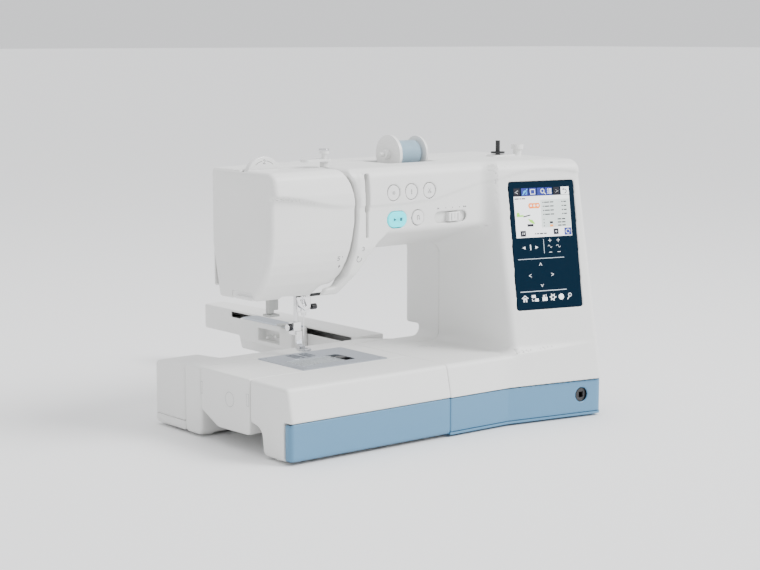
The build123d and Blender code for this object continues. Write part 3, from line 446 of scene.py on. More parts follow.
def head_field(X, Y, Z):
    front = prism(X, Z, [(103.5, HEAD_LOW), (128, HEAD_LOW, 6), (174, ARM_LOW_FRONT
                                                                 - 2), (174, BODY_TOP + 20),
                         (104, BODY_TOP + 20),
                         (136, 304, 20), (140.5, 282, 20), (140.5, 260, 20), (135.5, 222, 20),
                         (130.5, 195, 8), (121, 182, 5),
                         (109, 180, 3)])
    side = prism(Y, Z, [(ARM_FRONT
                         + 26, HEAD_LOW, 4), (170, HEAD_LOW, 10), (198, 212, 10), (214, BODY_TOP + 20),
                        (ARM_FRONT + 5, BODY_TOP + 20), (ARM_FRONT, 289), (ARM_FRONT, 226, 12),
                        (ARM_FRONT + 9, 196, 14)])
    return meet(front, side, 3)


def head_rear_field(X, Y, Z):
    left = HEAD_LEFT + 4.4
    rear = [(142, 212), (110, 212, 30), (60, 196, 20), (left, 192, 2)]
    top = prism(X, Y, [(left, COVER_TOP_REAR + SEAM, 2), (142, COVER_TOP_REAR + SEAM)] + rear)
    back = prism(X, Y, [(left, HEAD_REAR + 1.4), (142, HEAD_REAR + 1.4)] + rear)
    top = meet(np.maximum(top, BODY_TOP - 9 - Z), Z - BODY_TOP, 4)
    back = meet(np.maximum(back, Z - BODY_TOP + 5), HEAD_LOW + 6 - Z, 5)
    return np.minimum(top, back)


def body_field(X, Y, Z):
    """Each blend is trimmed back to the faces its two forms share, so only inside corners fill."""
    upper = join(arm_field(X, Y, Z), head_field(X, Y, Z), 14)
    upper = np.maximum(upper, arm_front_field(X, Y, Z))
    tower = meet(tower_front_field(X, Y, Z), COLUMN_LEFT - X, 7)
    upper = join(upper, tower, 16)
    upper = meet(upper, Z - BODY_TOP, 12.5)
    bed = meet(bed_front_field(X, Y, Z), Z - BED_TOP, 5)
    form = join(bed, upper, 11)
    front = np.minimum(bed_front_field(X, Y, Z), np.where(X > COLUMN_LEFT
                                                          - 12, tower_front_field(X, Y, Z), 1e3))
    form = np.maximum(form, np.where(Z < 130, front, -1e3))
    form = meet(form, Y - BODY_REAR, 8)
    form = meet(form, X - BODY_RIGHT, 9)
    form = cut(form, block(X, Y, Z, (200, BED_REAR, 0), (NOTCH_RIGHT, 300, NOTCH_TOP + 4), 3), 2)
    form = np.maximum(form, np.where(Z < 130, FREE_ARM_LENGTH + SEAM - X, -1e3))
    form = np.minimum(form, head_rear_field(X, Y, Z))
    hollow = np.maximum(form + WALL, np.where(Z < 100, FREE_ARM_LENGTH + SEAM + WALL - X, -1e3))
    return np.maximum(np.maximum(form, -hollow), BAND_TOP - Z)


def front_cuts(form, X, Y, Z):
    """Openings for the buttons, the slider, the touch glass and the take-up lever."""
    panel = np.maximum(40 - Y, Y - 75)
    for x, z, r in BUTTONS.values():
        form = cut(form, np.maximum(rod(X, Z, x, z, r + 0.6), panel), 0.5)
    form = cut(form, np.maximum(pill(X, Z, START_X, START_Z, START_W + 0.6, START_H + 0.6), panel), 0.5)
    form = cut(form, np.maximum(pill(X, Z, SLIDER_X, SLIDER_Z, SLIDER_HALF, 6.5), panel), 0.8)
    middle_x, middle_z = sum(GLASS_X) / 2, sum(GLASS_Z) / 2
    window = meet(np.abs(X - middle_x - 0.042 * (Z - middle_z)) - 45.2, np.abs(Z - middle_z) - 77.9, 3)
    form = cut(form, np.maximum(window, (Y - tower_y(X, Z)) / 1.047 - 12), 0.6)
    form = np.minimum(form, block(X, Y, Z, (147.4, ARM_FRONT + 1.5, 236), (157.6, ARM_FRONT + 42, 315)))
    form = cut(form, block(X, Y, Z, (149.5, ARM_FRONT - 9, 268), (155.5, ARM_FRONT + 45, 313), 2.4), 1)
    return cut(form, block(X, Y, Z, (150.9, ARM_FRONT - 9, 238), (154.1, ARM_FRONT + 45, 300), 1), 0.8)


def body_cuts(form, X, Y, Z):
    """The front's openings, the head's mouth, the spool tray and the holes at the top, side and back."""
    form = front_cuts(form, X, Y, Z)
    form = cut(form, block(X, Y, Z, (100, ARM_FRONT + 30, HEAD_LOW - 5), (150, HEAD_REAR - 2, BODY_TOP
                                                                          - WALL)))
    form = cut(form, block(X, Y, Z, (131.4, 150, HEAD_LOW - 5), (146.2, BODY_REAR + 5, 209)))
    tray_low = (SPOOL_X[0] - 20, SPOOL_Y - 26, BODY_TOP - 17)
    tray_high = (SPOOL_X[1] + 16, SPOOL_Y + 26, BODY_TOP + 9)
    tray = block(X, Y, Z, tray_low, tray_high, 4)
    form = np.minimum(form, np.maximum(np.maximum(tray - WALL, Z - BODY_TOP + 1), -tray))
    form = cut(form, tray, 1)
    form = cut(form, np.maximum(pill(X, Y, WINDER_X + 1.5, WINDER_Y, 7.5, 4.5), BODY_TOP - 12 - Z))
    dial_low = (DIAL_X - DIAL_R - 1.5, DIAL_Y - 5.5, BODY_TOP - 16)
    dial_high = (DIAL_X + DIAL_R + 1.5, DIAL_Y + 5.5, BODY_TOP + 5)
    form = cut(form, block(X, Y, Z, dial_low, dial_high, 1), 0.8)
    form = cut(form, block(X, Y, Z, (455, 72.7, 60.7), (480, 127.3, 83.3), 1.5))
    form = cut(form, block(X, Y, Z, (FREE_ARM_LENGTH - 5, 85, 46), (FREE_ARM_LENGTH + 6, 175, 80.5)))
    form = cut(form, np.maximum(rod(Y, Z, NEEDLE_Y, SHAFT_Z, 8), 450 - X))
    for x, z in REAR_SCREWS:
        form = cut(form, np.maximum(rod(X, Z, x, z, 4), BODY_REAR - 10 - Y), 0.8)
    return form


def front_case_field(X, Y, Z):
    return meet(body_cuts(body_field(X, Y, Z), X, Y, Z), Y - SPLIT_Y, 0.7)


def rear_case_field(X, Y, Z):
    return meet(body_cuts(body_field(X, Y, Z), X, Y, Z), SPLIT_Y + SEAM - Y, 0.7)


skin("front_case_skin", front_case_field, (HEAD_LEFT, -32, BAND_TOP), (BODY_RIGHT, SPLIT_Y, BODY_TOP),
     1.5, WHITE, "machine", "white_shell", ["front_case"], 0.5)
skin("rear_case_skin", rear_case_field, (HEAD_LEFT, SPLIT_Y, BAND_TOP),
     (BODY_RIGHT, BODY_REAR, BODY_TOP), 1.6, WHITE, "machine", "white_shell", ["rear_case"], 0.4)


# ---- swinging head cover ----
def cover_front(X, Z):
    """Front of the cover: a brow above a crease that falls to the right, and a face that curves back."""
    across = (X - HEAD_LEFT) / 113
    heights = (165, 171, 178, 188, 202, 213, 224, 238, 254, 292)
    depths = (112, 104, 97.5, 89, 80, 74.8, 71.5, 69, 68, 68)
    lower = np.interp(Z, heights, depths) - 8.5 * across
    upper = 58.5 + 4 * np.clip((Z - 291) / 17, 0, 1) - 0.4 * across
    line = 291 - 15 * smooth(across * 1.1)
    return lower + (upper - lower) * smooth((Z - line) / 7 + 0.5)


def cover_field(X, Y, Z):
    outline = prism(X, Z, [(HEAD_LEFT - 9, BODY_TOP + 9), (116, BODY_TOP
                                                           + 9), (132, 304, 30), (137, 282, 40),
                           (137, 260, 40), (132, 222, 40),
                           (127, 196, 12), (119, 185, 6), (107, 183, 5), (99, COVER_LOW + 1, 6),
                           (HEAD_LEFT - 9, COVER_LOW)])
    open_form = meet((cover_front(X, Z) - Y) / 1.02, Z - BODY_TOP, 13)
    open_form = meet(open_form, HEAD_LEFT - X, 6)
    open_form = meet(open_form, outline, 2.4)
    form = meet(open_form, (Y - 175 - 0.213 * np.minimum(Z - 171, 61)) / 1.02, 4)
    form = np.maximum(form, -(open_form + WALL))
    form = cut(form, block(X, Y, Z, (HEAD_LEFT + WALL, COVER_TOP_REAR, BODY_TOP - 14), (200, 300, 400)))
    form = cut(form, block(X, Y, Z, (112, ARM_FRONT + 30, 150), (200, 300, BODY_TOP - WALL)))
    form = cut(form, block(X, Y, Z, (60, 100, HEAD_LOW - 5), (200, 182, HEAD_LOW + 20)))
    cutter = block(X, Y, Z, (HEAD_LEFT - 6, 107, HEAD_LOW - 6), (HEAD_LEFT + 6, 149, HEAD_LOW + 7.5), 3)
    return cut(form, cutter, 1.2)


skin("head_cover_skin", cover_field, (HEAD_LEFT, 56, COVER_LOW), (138, HEAD_REAR, BODY_TOP), 1.25,
     WHITE, "face_cover", "white_shell", ["face_cover"], 0.6)


def cutter_bar_field(X, Y, Z):
    bar = block(X, Y, Z, (HEAD_LEFT - 1.6, 105, HEAD_LOW - 0.6), (HEAD_LEFT + 3.5, 139, HEAD_LOW + 3.4),
                1.4)
    return join(bar, block(X, Y, Z, (HEAD_LEFT + 2, 105, HEAD_LOW), (HEAD_LEFT + 6.5, 150, HEAD_LOW
                                                                     + 9), 1), 1)


skin("thread_cutter_bar", cutter_bar_field, (22, 104, 170), (31, 151, 181), 0.5, GLOSS_WHITE,
     "face_cover", "white_gloss")


# ---- small metal pieces round the needle ----
def bar_guide_field(X, Y, Z):
    """A bent sheet guide in front of the needle bar, over the clamp."""
    sheet = prism(X, Z, [(118, 161, 1), (140, 161, 1), (140, 147, 2), (133, 142.5, 2), (122, 150, 2)])
    form = meet(sheet, np.abs(Y - 151.5) - 0.8, 0.5)
    window = prism(X, Z, [(124, 158, 1), (130, 158, 1), (134, 149, 1), (129, 149, 1)])
    return cut(form, window, 0.4)


def black_guide_field(X, Y, Z):
    form = block(X, Y, Z, (129, 160.5, 153), (138, 166, 171), 1)
    return np.minimum(form, block(X, Y, Z, (140, 150, 160), (158, 154, 163.5), 1))


def foot_screw_field(X, Y, Z):
    return meet(rod(Y, Z, PRESSER_Y, FOOT_SCREW_Z, 4.6), np.abs(X - FOOT_SCREW_X) - 2.6, 0.6)


def guide_cap_field(X, Y, Z):
    return meet(rod(X, Y, GUIDE_POST_X, GUIDE_POST_Y, 6.2), np.abs(Z - 339) - 1.6, 0.6)


skin("needle_bar_guide", bar_guide_field, (117, 150, 141), (141, 153, 162), 0.45, CHROME, "needle_bar",
     "chrome")
skin("needle_bar_bracket", black_guide_field, (128, 149, 152), (159, 167, 172), 0.5, BLACK, "machine",
     "dark_plastic")
skin("guide_knob_cap", guide_cap_field, (123, 103, 337), (136, 116, 341), 0.4, CHROME, "machine",
     "chrome")
skin("foot_screw", foot_screw_field, (120, 167, 115), (127, 179, 127), 0.4, BLACK, "presser",
     "dark_plastic")


# ---- base band, free arm and embroidery unit ----
def base_band_field(X, Y, Z):
    left = FREE_ARM_LENGTH + SEAM
    plan = prism(X, Y, [(left, 0), (KINK_X, 0), (BODY_RIGHT, -24.7, 7), (BODY_RIGHT, BODY_REAR, 5),
                        (NOTCH_RIGHT, BODY_REAR), (NOTCH_RIGHT, BED_REAR), (left, BED_REAR)])
    form = meet(meet(plan, 6 - Z, 1.5), Z - BAND_TOP + SEAM, 0.8)
    form = np.maximum(form, -(plan + WALL))
    form = cut(form, np.maximum(rod(X, Z, KNEE_X, KNEE_Z, 8.8), Y - 60), 0.8)
    return cut(form, block(X, Y, Z, (FREE_ARM_LENGTH - 5, 85, 25), (FREE_ARM_LENGTH + 6, 175, 60)))


skin("base_band_skin", base_band_field, (232, -25, 6), (BODY_RIGHT, BODY_REAR, BAND_TOP), 1.4, BLUE,
     "machine", "blue_shell", ["base_band"], 0.5)


def free_arm_field(X, Y, Z):
    y0, y1 = FREE_ARM_Y
    side = prism(Y, Z, [(y0, 21, 6), (145, 20, 24), (y1, 36, 3), (y1, BED_TOP), (y0, BED_TOP)])
    form = meet(side, -X, 1.6)
    form = np.maximum(form, X - FREE_ARM_LENGTH - SEAM + 0.1)
    form = np.maximum(form, -np.maximum(side + WALL, WALL - X))
    form = cut(form, block(X, Y, Z, (PLATE_X[0] + 3, PLATE_Y[0] + 3, 60), (PLATE_X[1] - 3, PLATE_Y[1]
                                                                           - 3, 100)))
    seat_low = (PLATE_X[0] - 0.4, PLATE_Y[0] - 0.4, BED_TOP - 1.6)
    seat_high = (PLATE_X[1] + 0.4, PLATE_Y[1] + 0.4, 100)
    return cut(form, block(X, Y, Z, seat_low, seat_high, 0.5))


skin("free_arm_skin", free_arm_field, (0, 80, 20), (233, 181, BED_TOP), 1.3, WHITE, "machine",
     "white_shell", ["free_arm_cover"], 0.5)


def unit_field(X, Y, Z):
    profile = prism(Y, Z,
                    [(-SKIRT_LIP, BAND_TOP, 1), (7.5, BED_TOP, 5), (79.7, BED_TOP), (79.7, 37, 2),
                     (58, 32, 12), (54, 3, 7), (0, 3, 4), (0, BAND_TOP)])
    front_leg = meet(meet(profile, -X, 4), X - FREE_ARM_LENGTH, 0.8)
    front_leg = cut(front_leg, block(X, Y, Z, (-6, -6, 0), (300, 14.3, BAND_TOP + 0.2)))
    wide = prism(Y, Z, [(180.8, 3, 8), (UNIT_REAR, 3, 6), (UNIT_REAR, BED_TOP, 4), (180.8, BED_TOP)])
    rear_leg = meet(meet(wide, -X, 4), X - FREE_ARM_LENGTH, 0.8)
    narrow = prism(Y, Z, [(190.4, 3), (UNIT_REAR, 3, 6), (UNIT_REAR, BED_TOP, 4), (190.4, BED_TOP)])
    tail = meet(np.maximum(narrow, FREE_ARM_LENGTH - 5 - X), X - UNIT_RIGHT, 3)
    bevel = (0.17 * (X - 266) + 0.2 * (Y - 216) + (Z - BED_TOP)) / 1.034
    rear_leg = meet(np.minimum(rear_leg, tail), np.where(X > 240, bevel, -50), 1.5)
    form = np.minimum(front_leg, rear_leg)
    form = join(form, block(X, Y, Z, (66, 50, 4), (100, 190, 17), 2), 2)
    for x, y in UNIT_FEET:
        form = np.minimum(form, meet(rod(X, Y, x, y, 8), np.abs(Z - 3) - 3, 0.8))
    base = np.maximum(block(X, Y, Z, (0, 216.4, 3), (63, 283, 22), 4.5), Z - 15)
    housing = block(X, Y, Z, (58, 216.4, 3), (UNIT_RIGHT, 256.4, 34), 3)
    housing = np.maximum(housing, -block(X, Y, Z, (66, 219, 6), (309.4, 253.8, 31)))
    housing = cut(housing, block(X, Y, Z, (124, 226.4, 20), (311, 242.4, 40), 1), 0.8)
    foot = block(X, Y, Z, (6, 212, 6), (306, 217.4, 15))
    return np.minimum(np.minimum(form, foot), np.minimum(base, housing))


skin("unit_skin", unit_field, (0, -2, 0), (UNIT_RIGHT, 283, BED_TOP), 1.5, WHITE, "embroidery_unit",
     "white_shell", ["unit_case"], 0.5)


def unit_band_field(X, Y, Z):
    profile = prism(Y, Z, [(0, 3.5, 5), (0, BAND_TOP - SEAM, 0.8), (14, BAND_TOP - SEAM, 4), (14, 3.5)])
    form = meet(meet(profile, -X, 5), X - FREE_ARM_LENGTH, 0.6)
    return np.maximum(form, -block(X, Y, Z, (WALL, WALL, 0), (300, 60, 100)))


skin("unit_band_skin", unit_band_field, (0, 0, 3), (FREE_ARM_LENGTH, 14, BAND_TOP), 1.0, BLUE,
     "embroidery_unit", "blue_shell", ["unit_band"], 0.5)


def motor_box_field(X, Y, Z):
    (x0, y0, z0), (x1, y1, z1) = MOTOR_BOX
    slope = 0.06 * (Y - y0)
    form = np.maximum(block(X, Y, Z + slope, (x0, y0, z0 - 30), (x1, y1, z1), 5.5), z0 - Z)
    return np.maximum(form, -block(X, Y, Z, (x0 + 3, y0 + 3, 0), (x1 - 3, y1 - 3, 77)))


skin("motor_box_skin", motor_box_field, *MOTOR_BOX, 1.2, WHITE, "embroidery_unit", "white_shell",
     ["unit_motor_box"], 0.5)


def carriage_arm_field(X, Y, Z):
    (x0, x1), (y0, y1) = ARM_X, ARM_Y
    side = prism(Y, Z,
                 [(y0, 35.5, 1), (486, 35.5, 3), (492, 53, 4), (y1, 53, 5), (y1, 88, 4), (y0, 88, 1.5)])
    plan = prism(X, Y, [(x0, y0), (x1, y0, 2), (x1, 480, 60), (x1 - 8, y1, 10), (x0, y1, 5)])
    form = meet(side, plan, 2.5)
    form = np.maximum(form, -(np.maximum(side, plan) + WALL))
    form = cut(form,
               block(X, Y, Z, (x0 - 5, SLOT_Y[0], SLOT_Z[0]), (x0 + 5, SLOT_Y[1], SLOT_Z[1]), 0.6))
    return np.minimum(form, block(X, Y, Z, (276, y0 + 11, 22), (298, y0 + 22, 36.5), 1))


skin("carriage_arm_skin", carriage_arm_field, (266, 218, 21), (308, 581, 88), 1.1, WHITE,
     "carriage_arm", "white_shell", ["carriage_arm"], 0.5)


def hoop_carriage_field(X, Y, Z):
    x0 = ARM_X[0]
    c0, c1 = CARRIAGE_Y
    form = block(X, Y, Z, (x0 - 27, c0, 55), (x0 - 0.3, c1, 86), 2.6)
    form = cut(form, block(X, Y, Z, (x0 - 40, c0 + 28, 61), (x0 - 12, c0 + 78, 78), 1.5), 0.8)
    pegs = np.minimum(rod(Y, Z, c0 + 42, 70, 2.6), rod(Y, Z, c0 + 62, 66, 2.0))
    form = np.minimum(form, meet(pegs, np.abs(X - x0 + 15) - 9, 0.8))
    through = block(X, Y, Z, (x0 - 3, c0 + 25, SLOT_Z[0] + 1), (x0 + 8, c1 - 25, SLOT_Z[1] - 1))
    hook = block(X, Y, Z, (x0 + 4, c0 + 25, 70), (x0 + 12, c1 - 25, SLOT_Z[1] - 1))
    return np.minimum(form, np.minimum(through, hook))


skin("hoop_carriage_skin", hoop_carriage_field, (238, 327, 55), (279, 452, 86), 0.9, WHITE,
     "hoop_carriage", "white_shell", ["hoop_carriage"], 0.6)


# ---- printed marks: flat shapes laid a hair above a surface ----
def rect(u0, v0, u1, v1):
    return [[(u0, v0), (u1, v0), (u1, v1), (u0, v1)]]


def disc(u, v, radius, sides=28):
    angles = [math.tau * k / sides for k in range(sides)]
    return [[(u + radius * math.cos(a), v + radius * math.sin(a)) for a in angles]]


def stroke(points, width):
    """A line of even width through the points, as one quad for each stretch."""
    shapes = []
    for (u0, v0), (u1, v1) in zip(points, points[1:]):
        length = math.hypot(u1 - u0, v1 - v0)
        du, dv = (u1 - u0) / length * width / 2, (v1 - v0) / length * width / 2
        shapes.append([(u0 - du + dv, v0 - dv - du), (u1 + du + dv, v1 + dv - du),
                       (u1 + du - dv, v1 + dv + du), (u0 - du - dv, v0 - dv + du)])
    return shapes


def arc(u, v, radius, start, stop, width, steps=20):
    """A stretch of a ring, from one angle to another in degrees."""
    angles = [math.radians(start + (stop - start) * k / steps) for k in range(steps + 1)]
    return stroke([(u + radius * math.cos(a), v + radius * math.sin(a)) for a in angles], width)


def arrow(u, v, size, angle):
    """A solid triangle that points at an angle in degrees."""
    corners = [math.radians(angle + turn) for turn in (0, 130, 230)]
    return [[(u + size * math.cos(a), v + size * math.sin(a)) for a in corners]]


def chevron(u, v, size, angle):
    tip, back = math.radians(angle), [math.radians(angle + turn) for turn in (125, -125)]
    point = (u + size * math.cos(tip), v + size * math.sin(tip))
    ends = [(u + size * math.cos(a), v + size * math.sin(a)) for a in back]
    return stroke([ends[0], point, ends[1]], 0.5)


def words(u, v, lengths, height=1.4, gap=1.0):
    """Short plain bars where a display would show lines of writing."""
    shapes = []
    for length in lengths:
        shapes += rect(u, v, u + length, v + height)
        u += length + gap
    return shapes


def digit(u, v, size, name):
    """A generic numeral drawn in strokes, its middle at u, v."""
    s, pen = size / 2, size * 0.13
    lines = {"2": [(-0.6, 0.6), (-0.3, 1), (0.3, 1), (0.6, 0.6), (0.4, 0.1), (-0.6, -1), (0.7, -1)],
             "3": [(-0.6, 0.8), (0, 1), (0.6, 0.6), (0.4, 0.15), (0, 0), (0.5, -0.2), (0.6, -0.6),
                   (0, -1),
                   (-0.6, -0.8)],
             "5": [(0.6, 1), (-0.4, 1), (-0.5, 0.1), (0.2, 0.2), (0.6, -0.3), (0.4, -0.8), (-0.1, -1),
                   (-0.6, -0.8)]}
    return stroke([(u + a * s, v + b * s) for a, b in lines[name]], pen)


def print_on(name, place, shapes, material, body):
    """Puts flat shapes on a surface; place turns u, v into a point."""
    points, faces = [], []
    for shape in shapes:
        faces.append(tuple(range(len(points), len(points) + len(shape))))
        points += [place(u, v) for u, v in shape]
    return mesh_object(name, points, faces, material, body)


def on_plane(origin, right, up, lift=0.06):
    """u along right, v along up, from the origin, lifted along their normal."""
    right, up = Vector(right).normalized(), Vector(up).normalized()
    origin = Vector(origin) + right.cross(up) * lift
    return lambda u, v: tuple(origin + right * u + up * v)


# icons on the buttons
CAP_FRONT = ARM_FRONT - 1.2
LOCK = arc(0, 0, 2.0, 0, 360, 0.35) + disc(0, 0, 0.9)
NEEDLE = stroke([(0, 2.8), (0, -2.6)], 0.7) + arrow(0, -2.4, 0.9,
                                                    270) + stroke([(-1.0, 0.6), (1.0, 0.6)], 0.35)
BLADES = stroke([(-1.6, 2.6), (1.2, -1.0)], 0.45) + stroke([(1.6, 2.6), (-1.2, -1.0)], 0.45)
SCISSORS = BLADES + arc(-1.5, -1.9, 0.9, 0, 360, 0.4) + arc(1.5, -1.9, 0.9, 0, 360, 0.4)
BEND = stroke([(-1.4, -2.6), (-1.4, 1.2)], 0.7) + arc(0, 1.2, 1.4, 0, 180, 0.7)
REVERSE = BEND + stroke([(1.4, 1.2), (1.4, -1.2)], 0.7) + arrow(1.4, -1.8, 1.2, 270)
ICONS = {"lock_stitch_button": LOCK, "needle_position_button": NEEDLE, "thread_cutter_button": SCISSORS,
         "reverse_button": REVERSE}
for node_name, (x, z, _) in BUTTONS.items():
    face = on_plane((x, CAP_FRONT, z), (1, 0, 0), (0, 0, 1))
    print_on(node_name + "_icon", face, ICONS[node_name], INK, node_name)

start_face = on_plane((START_X, ARM_FRONT - 1.4, START_Z), (1, 0, 0), (0, 0, 1))
start_icon = arrow(-4.4, 0, 2.8, 0) + stroke([(0.2, -2.8), (0.2, 2.8)], 0.5) + rect(3.0, -2.0, 7.0, 2.0)
print_on("start_stop_icon", start_face, start_icon, ink("start_ink", (0.01, 0.16, 0.20)),
         "start_stop_button")

panel_face = on_plane((SLIDER_X, ARM_FRONT, SLIDER_Z), (1, 0, 0), (0, 0, 1))
speed_marks = arrow(-20, 11, 1.6, 0) + disc(-8, 11, 0.6) + disc(3, 11, 0.6) + disc(14, 11, 0.6)
speed_marks += arrow(21, 11, 1.5, 0) + arrow(23.6, 11, 1.5, 0)
print_on("speed_marks", panel_face, speed_marks, INK, "machine")


def slider_track_field(X, Y, Z):
    return meet(pill(X, Z, SLIDER_X, SLIDER_Z, SLIDER_HALF + 2, 8.5), np.abs(Y - 61.8) - 1.0, 0.4)


skin("slider_track", slider_track_field, (252, 60, 245), (310, 63.5, 265), 0.7, SHADE_WHITE, "machine",
     "grey_plastic")


def slider_ribs_field(X, Y, Z):
    form = block(X, Y, Z, (285.2, ARM_FRONT - 2.8, SLIDER_Z - 2.5),
                 (285.8, ARM_FRONT - 2, SLIDER_Z + 4.6), 0.2)
    for x in (280.5, 290.5):
        low = (x - 0.5, ARM_FRONT - 3.1, SLIDER_Z - 4.4)
        high = (x + 0.5, ARM_FRONT - 2, SLIDER_Z + 4.4)
        form = np.minimum(form, block(X, Y, Z, low, high, 0.4))
    return form


skin("slider_ribs", slider_ribs_field, (279, 53, 249), (292, 56, 261), 0.25, PALE_INK_AND_SHADE, "speed_slider",
     "grey_plastic", keep=0.5)


# ---- the touch screen's picture: generic controls and a sample design ----
def glass_point(x, z):
    return (x, tower_y(x, z), z)


GLASS_RIGHT = Vector((1, TOWER_TURN, 0)).normalized()
GLASS_NORMAL = Vector((TOWER_TURN, -1, TOWER_LEAN)).normalized()
GLASS_UP = GLASS_NORMAL.cross(GLASS_RIGHT)
GLASS_MIDDLE = Vector(glass_point(sum(GLASS_X) / 2, sum(GLASS_Z) / 2)) - GLASS_NORMAL * 0.6


def on_glass(layer):
    return on_plane(GLASS_MIDDLE, GLASS_RIGHT, GLASS_UP, 0.05 + 0.04 * layer)


LCD_WHITE = glowing("lcd_white", (0.92, 0.94, 0.95), 0.55)
LCD_GREY = glowing("lcd_grey", (0.62, 0.68, 0.66), 0.55)
LCD_NAVY = glowing("lcd_navy", (0.02, 0.03, 0.22), 0.55)
LCD_BLACK = ink("lcd_black", (0.012, 0.012, 0.02), 0.2)
PALE_BLUE = glowing("key_pale", (0.62, 0.72, 0.80), 0.4)
ICE = glowing("key_white", (0.90, 0.94, 0.97), 0.5)
ORANGE = glowing("lcd_orange", (0.95, 0.30, 0.04), 0.55)
GREEN = glowing("lcd_green", (0.30, 0.75, 0.05), 0.55)
CYAN = glowing("lcd_cyan", (0.05, 0.55, 0.95), 0.55)

print_on("lcd_page", on_glass(0), rect(-40, 10, 39, 61) + rect(27.5, 61.5, 39, 71), LCD_WHITE,
         "machine")
print_on("lcd_table", on_glass(1), rect(-3, 21.5, 38.5, 56), LCD_GREY, "machine")
tiles = [rect(-28.8 + 11.2 * k, 61.5, -18.8 + 11.2 * k, 71) for k in range(4)]
print_on("lcd_tiles", on_glass(1), sum(tiles, []) + rect(28.5, 11, 38.5, 20), LCD_NAVY, "machine")
dark = rect(-39.5, 61.5, -31, 71) + rect(17, 61.5, 25.5, 71) + rect(-34, 11.5, -26.5,
                                                                    18.5) + rect(13, 12.5, 20, 19.5)
dark += words(-39, 57.4, [6, 2, 5]) + words(-14, 13.5, [2, 3, 5, 4])
for row in range(4):
    dark += words(0, 52 - 5 * row, [1.6, 7, 5], 1.3) + words(27, 52 - 5 * row, [2, 4], 1.3)
for row in range(3):
    dark += words(0, 30.5 - 3.9 * row, [0.9], 1.6) + words(20, 30.5 - 3.9 * row, [5, 5], 1.4)
dark += rect(8.5, 26.2, 13, 28.7) + rect(-23.5, 23.5, -15, 26.5) + stroke([(-27.5, 36), (-19, 37.5)],
                                                                          1.4)
print_on("lcd_black_marks", on_glass(2), dark, LCD_BLACK, "machine")
van = disc(-17, 49, 3.4) + rect(-19, 45.8, -5, 52.2) + disc(-7, 49, 3.4) + rect(8.5, 22.2, 13, 24.7)
print_on("lcd_sample_orange", on_glass(2), van, ORANGE, "machine")
panes = rect(-18, 48, -15.2, 50.4) + rect(-13.2, 48, -10.4, 50.4) + rect(-8.4, 48, -5.6, 50.4)
print_on("lcd_sample_windows", on_glass(3), panes, LCD_WHITE, "machine")
leaf = [(-22, 33), (-16, 31.5), (-12, 26.5), (-15.5, 26.8), (-19, 28.6)]
print_on("lcd_sample_green", on_glass(2), [leaf] + rect(-38, 36, -28, 38) + disc(-35.5, 39.2, 2.2),
         GREEN, "machine")
glyphs = chevron(-35.2, 66.2, 2.2, 180) + chevron(21.2, 66.2, 2.2, 0)
glyphs += arc(1.2, 66.8, 2.4, 0, 360, 0.8) + stroke([(3.0, 65.0), (5.2, 62.9)], 0.9)
glyphs += stroke([(-15.8, 63.4), (-15.8, 69), (-9.8, 69), (-9.8, 63.4), (-15.8, 63.4)], 0.8)
for v in (63.2, 65.6, 68.0):
    glyphs += rect(8.4, v, 9.8, v + 1.4) + rect(10.8, v, 14, v + 1.4)
glyphs += arc(33.5, 15.5, 2.6, 0, 300, 0.8) + words(-32, 14, [1.4, 1.4], 2.4) + disc(16.5, 16, 1.3)
print_on("lcd_glyphs", on_glass(2), glyphs, ICE, "machine")
loop = arc(-23.6, 65.4, 2.2, -60, 200, 1.0) + stroke([(-27, 63), (-20.6, 69.6)], 0.9)
print_on("lcd_thread_glyph", on_glass(2), loop, CYAN, "machine")
undo = arc(33, 65.5, 2.4, -90, 120, 0.9) + arrow(31, 68, 1.8, 200)
print_on("lcd_undo_glyph", on_glass(1), undo, LCD_BLACK, "machine")
keys = arrow(-30.5, -2.5, 2.4, 180) + stroke([(-21.4, -5), (-21.4, 0.4)], 1.2) + arrow(-13, -2.5, 2.4,
                                                                                       0)
for u in (6.5, 18.5):
    keys += stroke([(u - 1.9, 5.2), (u + 1.9, 5.2)], 0.5) + stroke([(u, 3.4), (u, 7.0)], 0.5)
    keys += stroke([(u - 1.9, -9.4), (u + 1.9, -9.4)], 0.5)
    keys += arc(u - 1.7, -2.2, 1.4, 20, 160, 0.4, 6) + arc(u + 1.2, -2.2, 1.4, 200, 340, 0.4, 6)
for angle, u, v in ((90, -9, -24), (180, -24.5, -37), (0, 6.5, -37), (270, -9, -49.5)):
    keys += chevron(u, v, 2.0, angle)
print_on("touch_keys", on_glass(0), keys, ICE, "machine")
lines = stroke([(-40, -16.5), (25, -16.5)], 0.55) + stroke([(-40, -56.5), (25, -56.5)], 0.7)
lines += stroke([(-2.4, -10), (-2.4, 7)], 0.5)
print_on("touch_lines", on_glass(0), lines, PALE_BLUE, "machine")
row = stroke([(-38.5, -64.5), (-34.5, -61.5), (-30.5, -64.5)], 0.9) + rect(-37, -69, -35.3, -64.5)
row += rect(-33.7, -69, -32, -64.5) + rect(-37, -66, -32, -64.3)
row += rect(-25, -64.5, -19.5, -61) + rect(-20.5, -69, -15.5,
                                           -65.5) + stroke([(-24.5, -66), (-24.5, -68), (-22, -68)],
                                                           0.7)
row += rect(-10, -69, -3, -64.5) + rect(-9, -64, -6.4, -61.8) + stroke([(-4.6, -63.6), (-4.6, -61.4)],
                                                                       0.7)
row += arc(5, -65.2, 2.4, 0, 360, 1.3)
for k in range(6):
    along, across = math.cos(k), math.sin(k)
    row += stroke([(5 + 3 * along, -65.2 + 3 * across), (5 + 4 * along, -65.2 + 4 * across)], 1.2)
row += disc(17, -65.2, 3.7) + arc(29.5, -63.6, 2.0, 0, 360, 0.8) + stroke([(28.2, -65.4), (26, -68.6)],
                                                                          1.0)
print_on("touch_icon_row", on_glass(0), row, ICE, "machine")
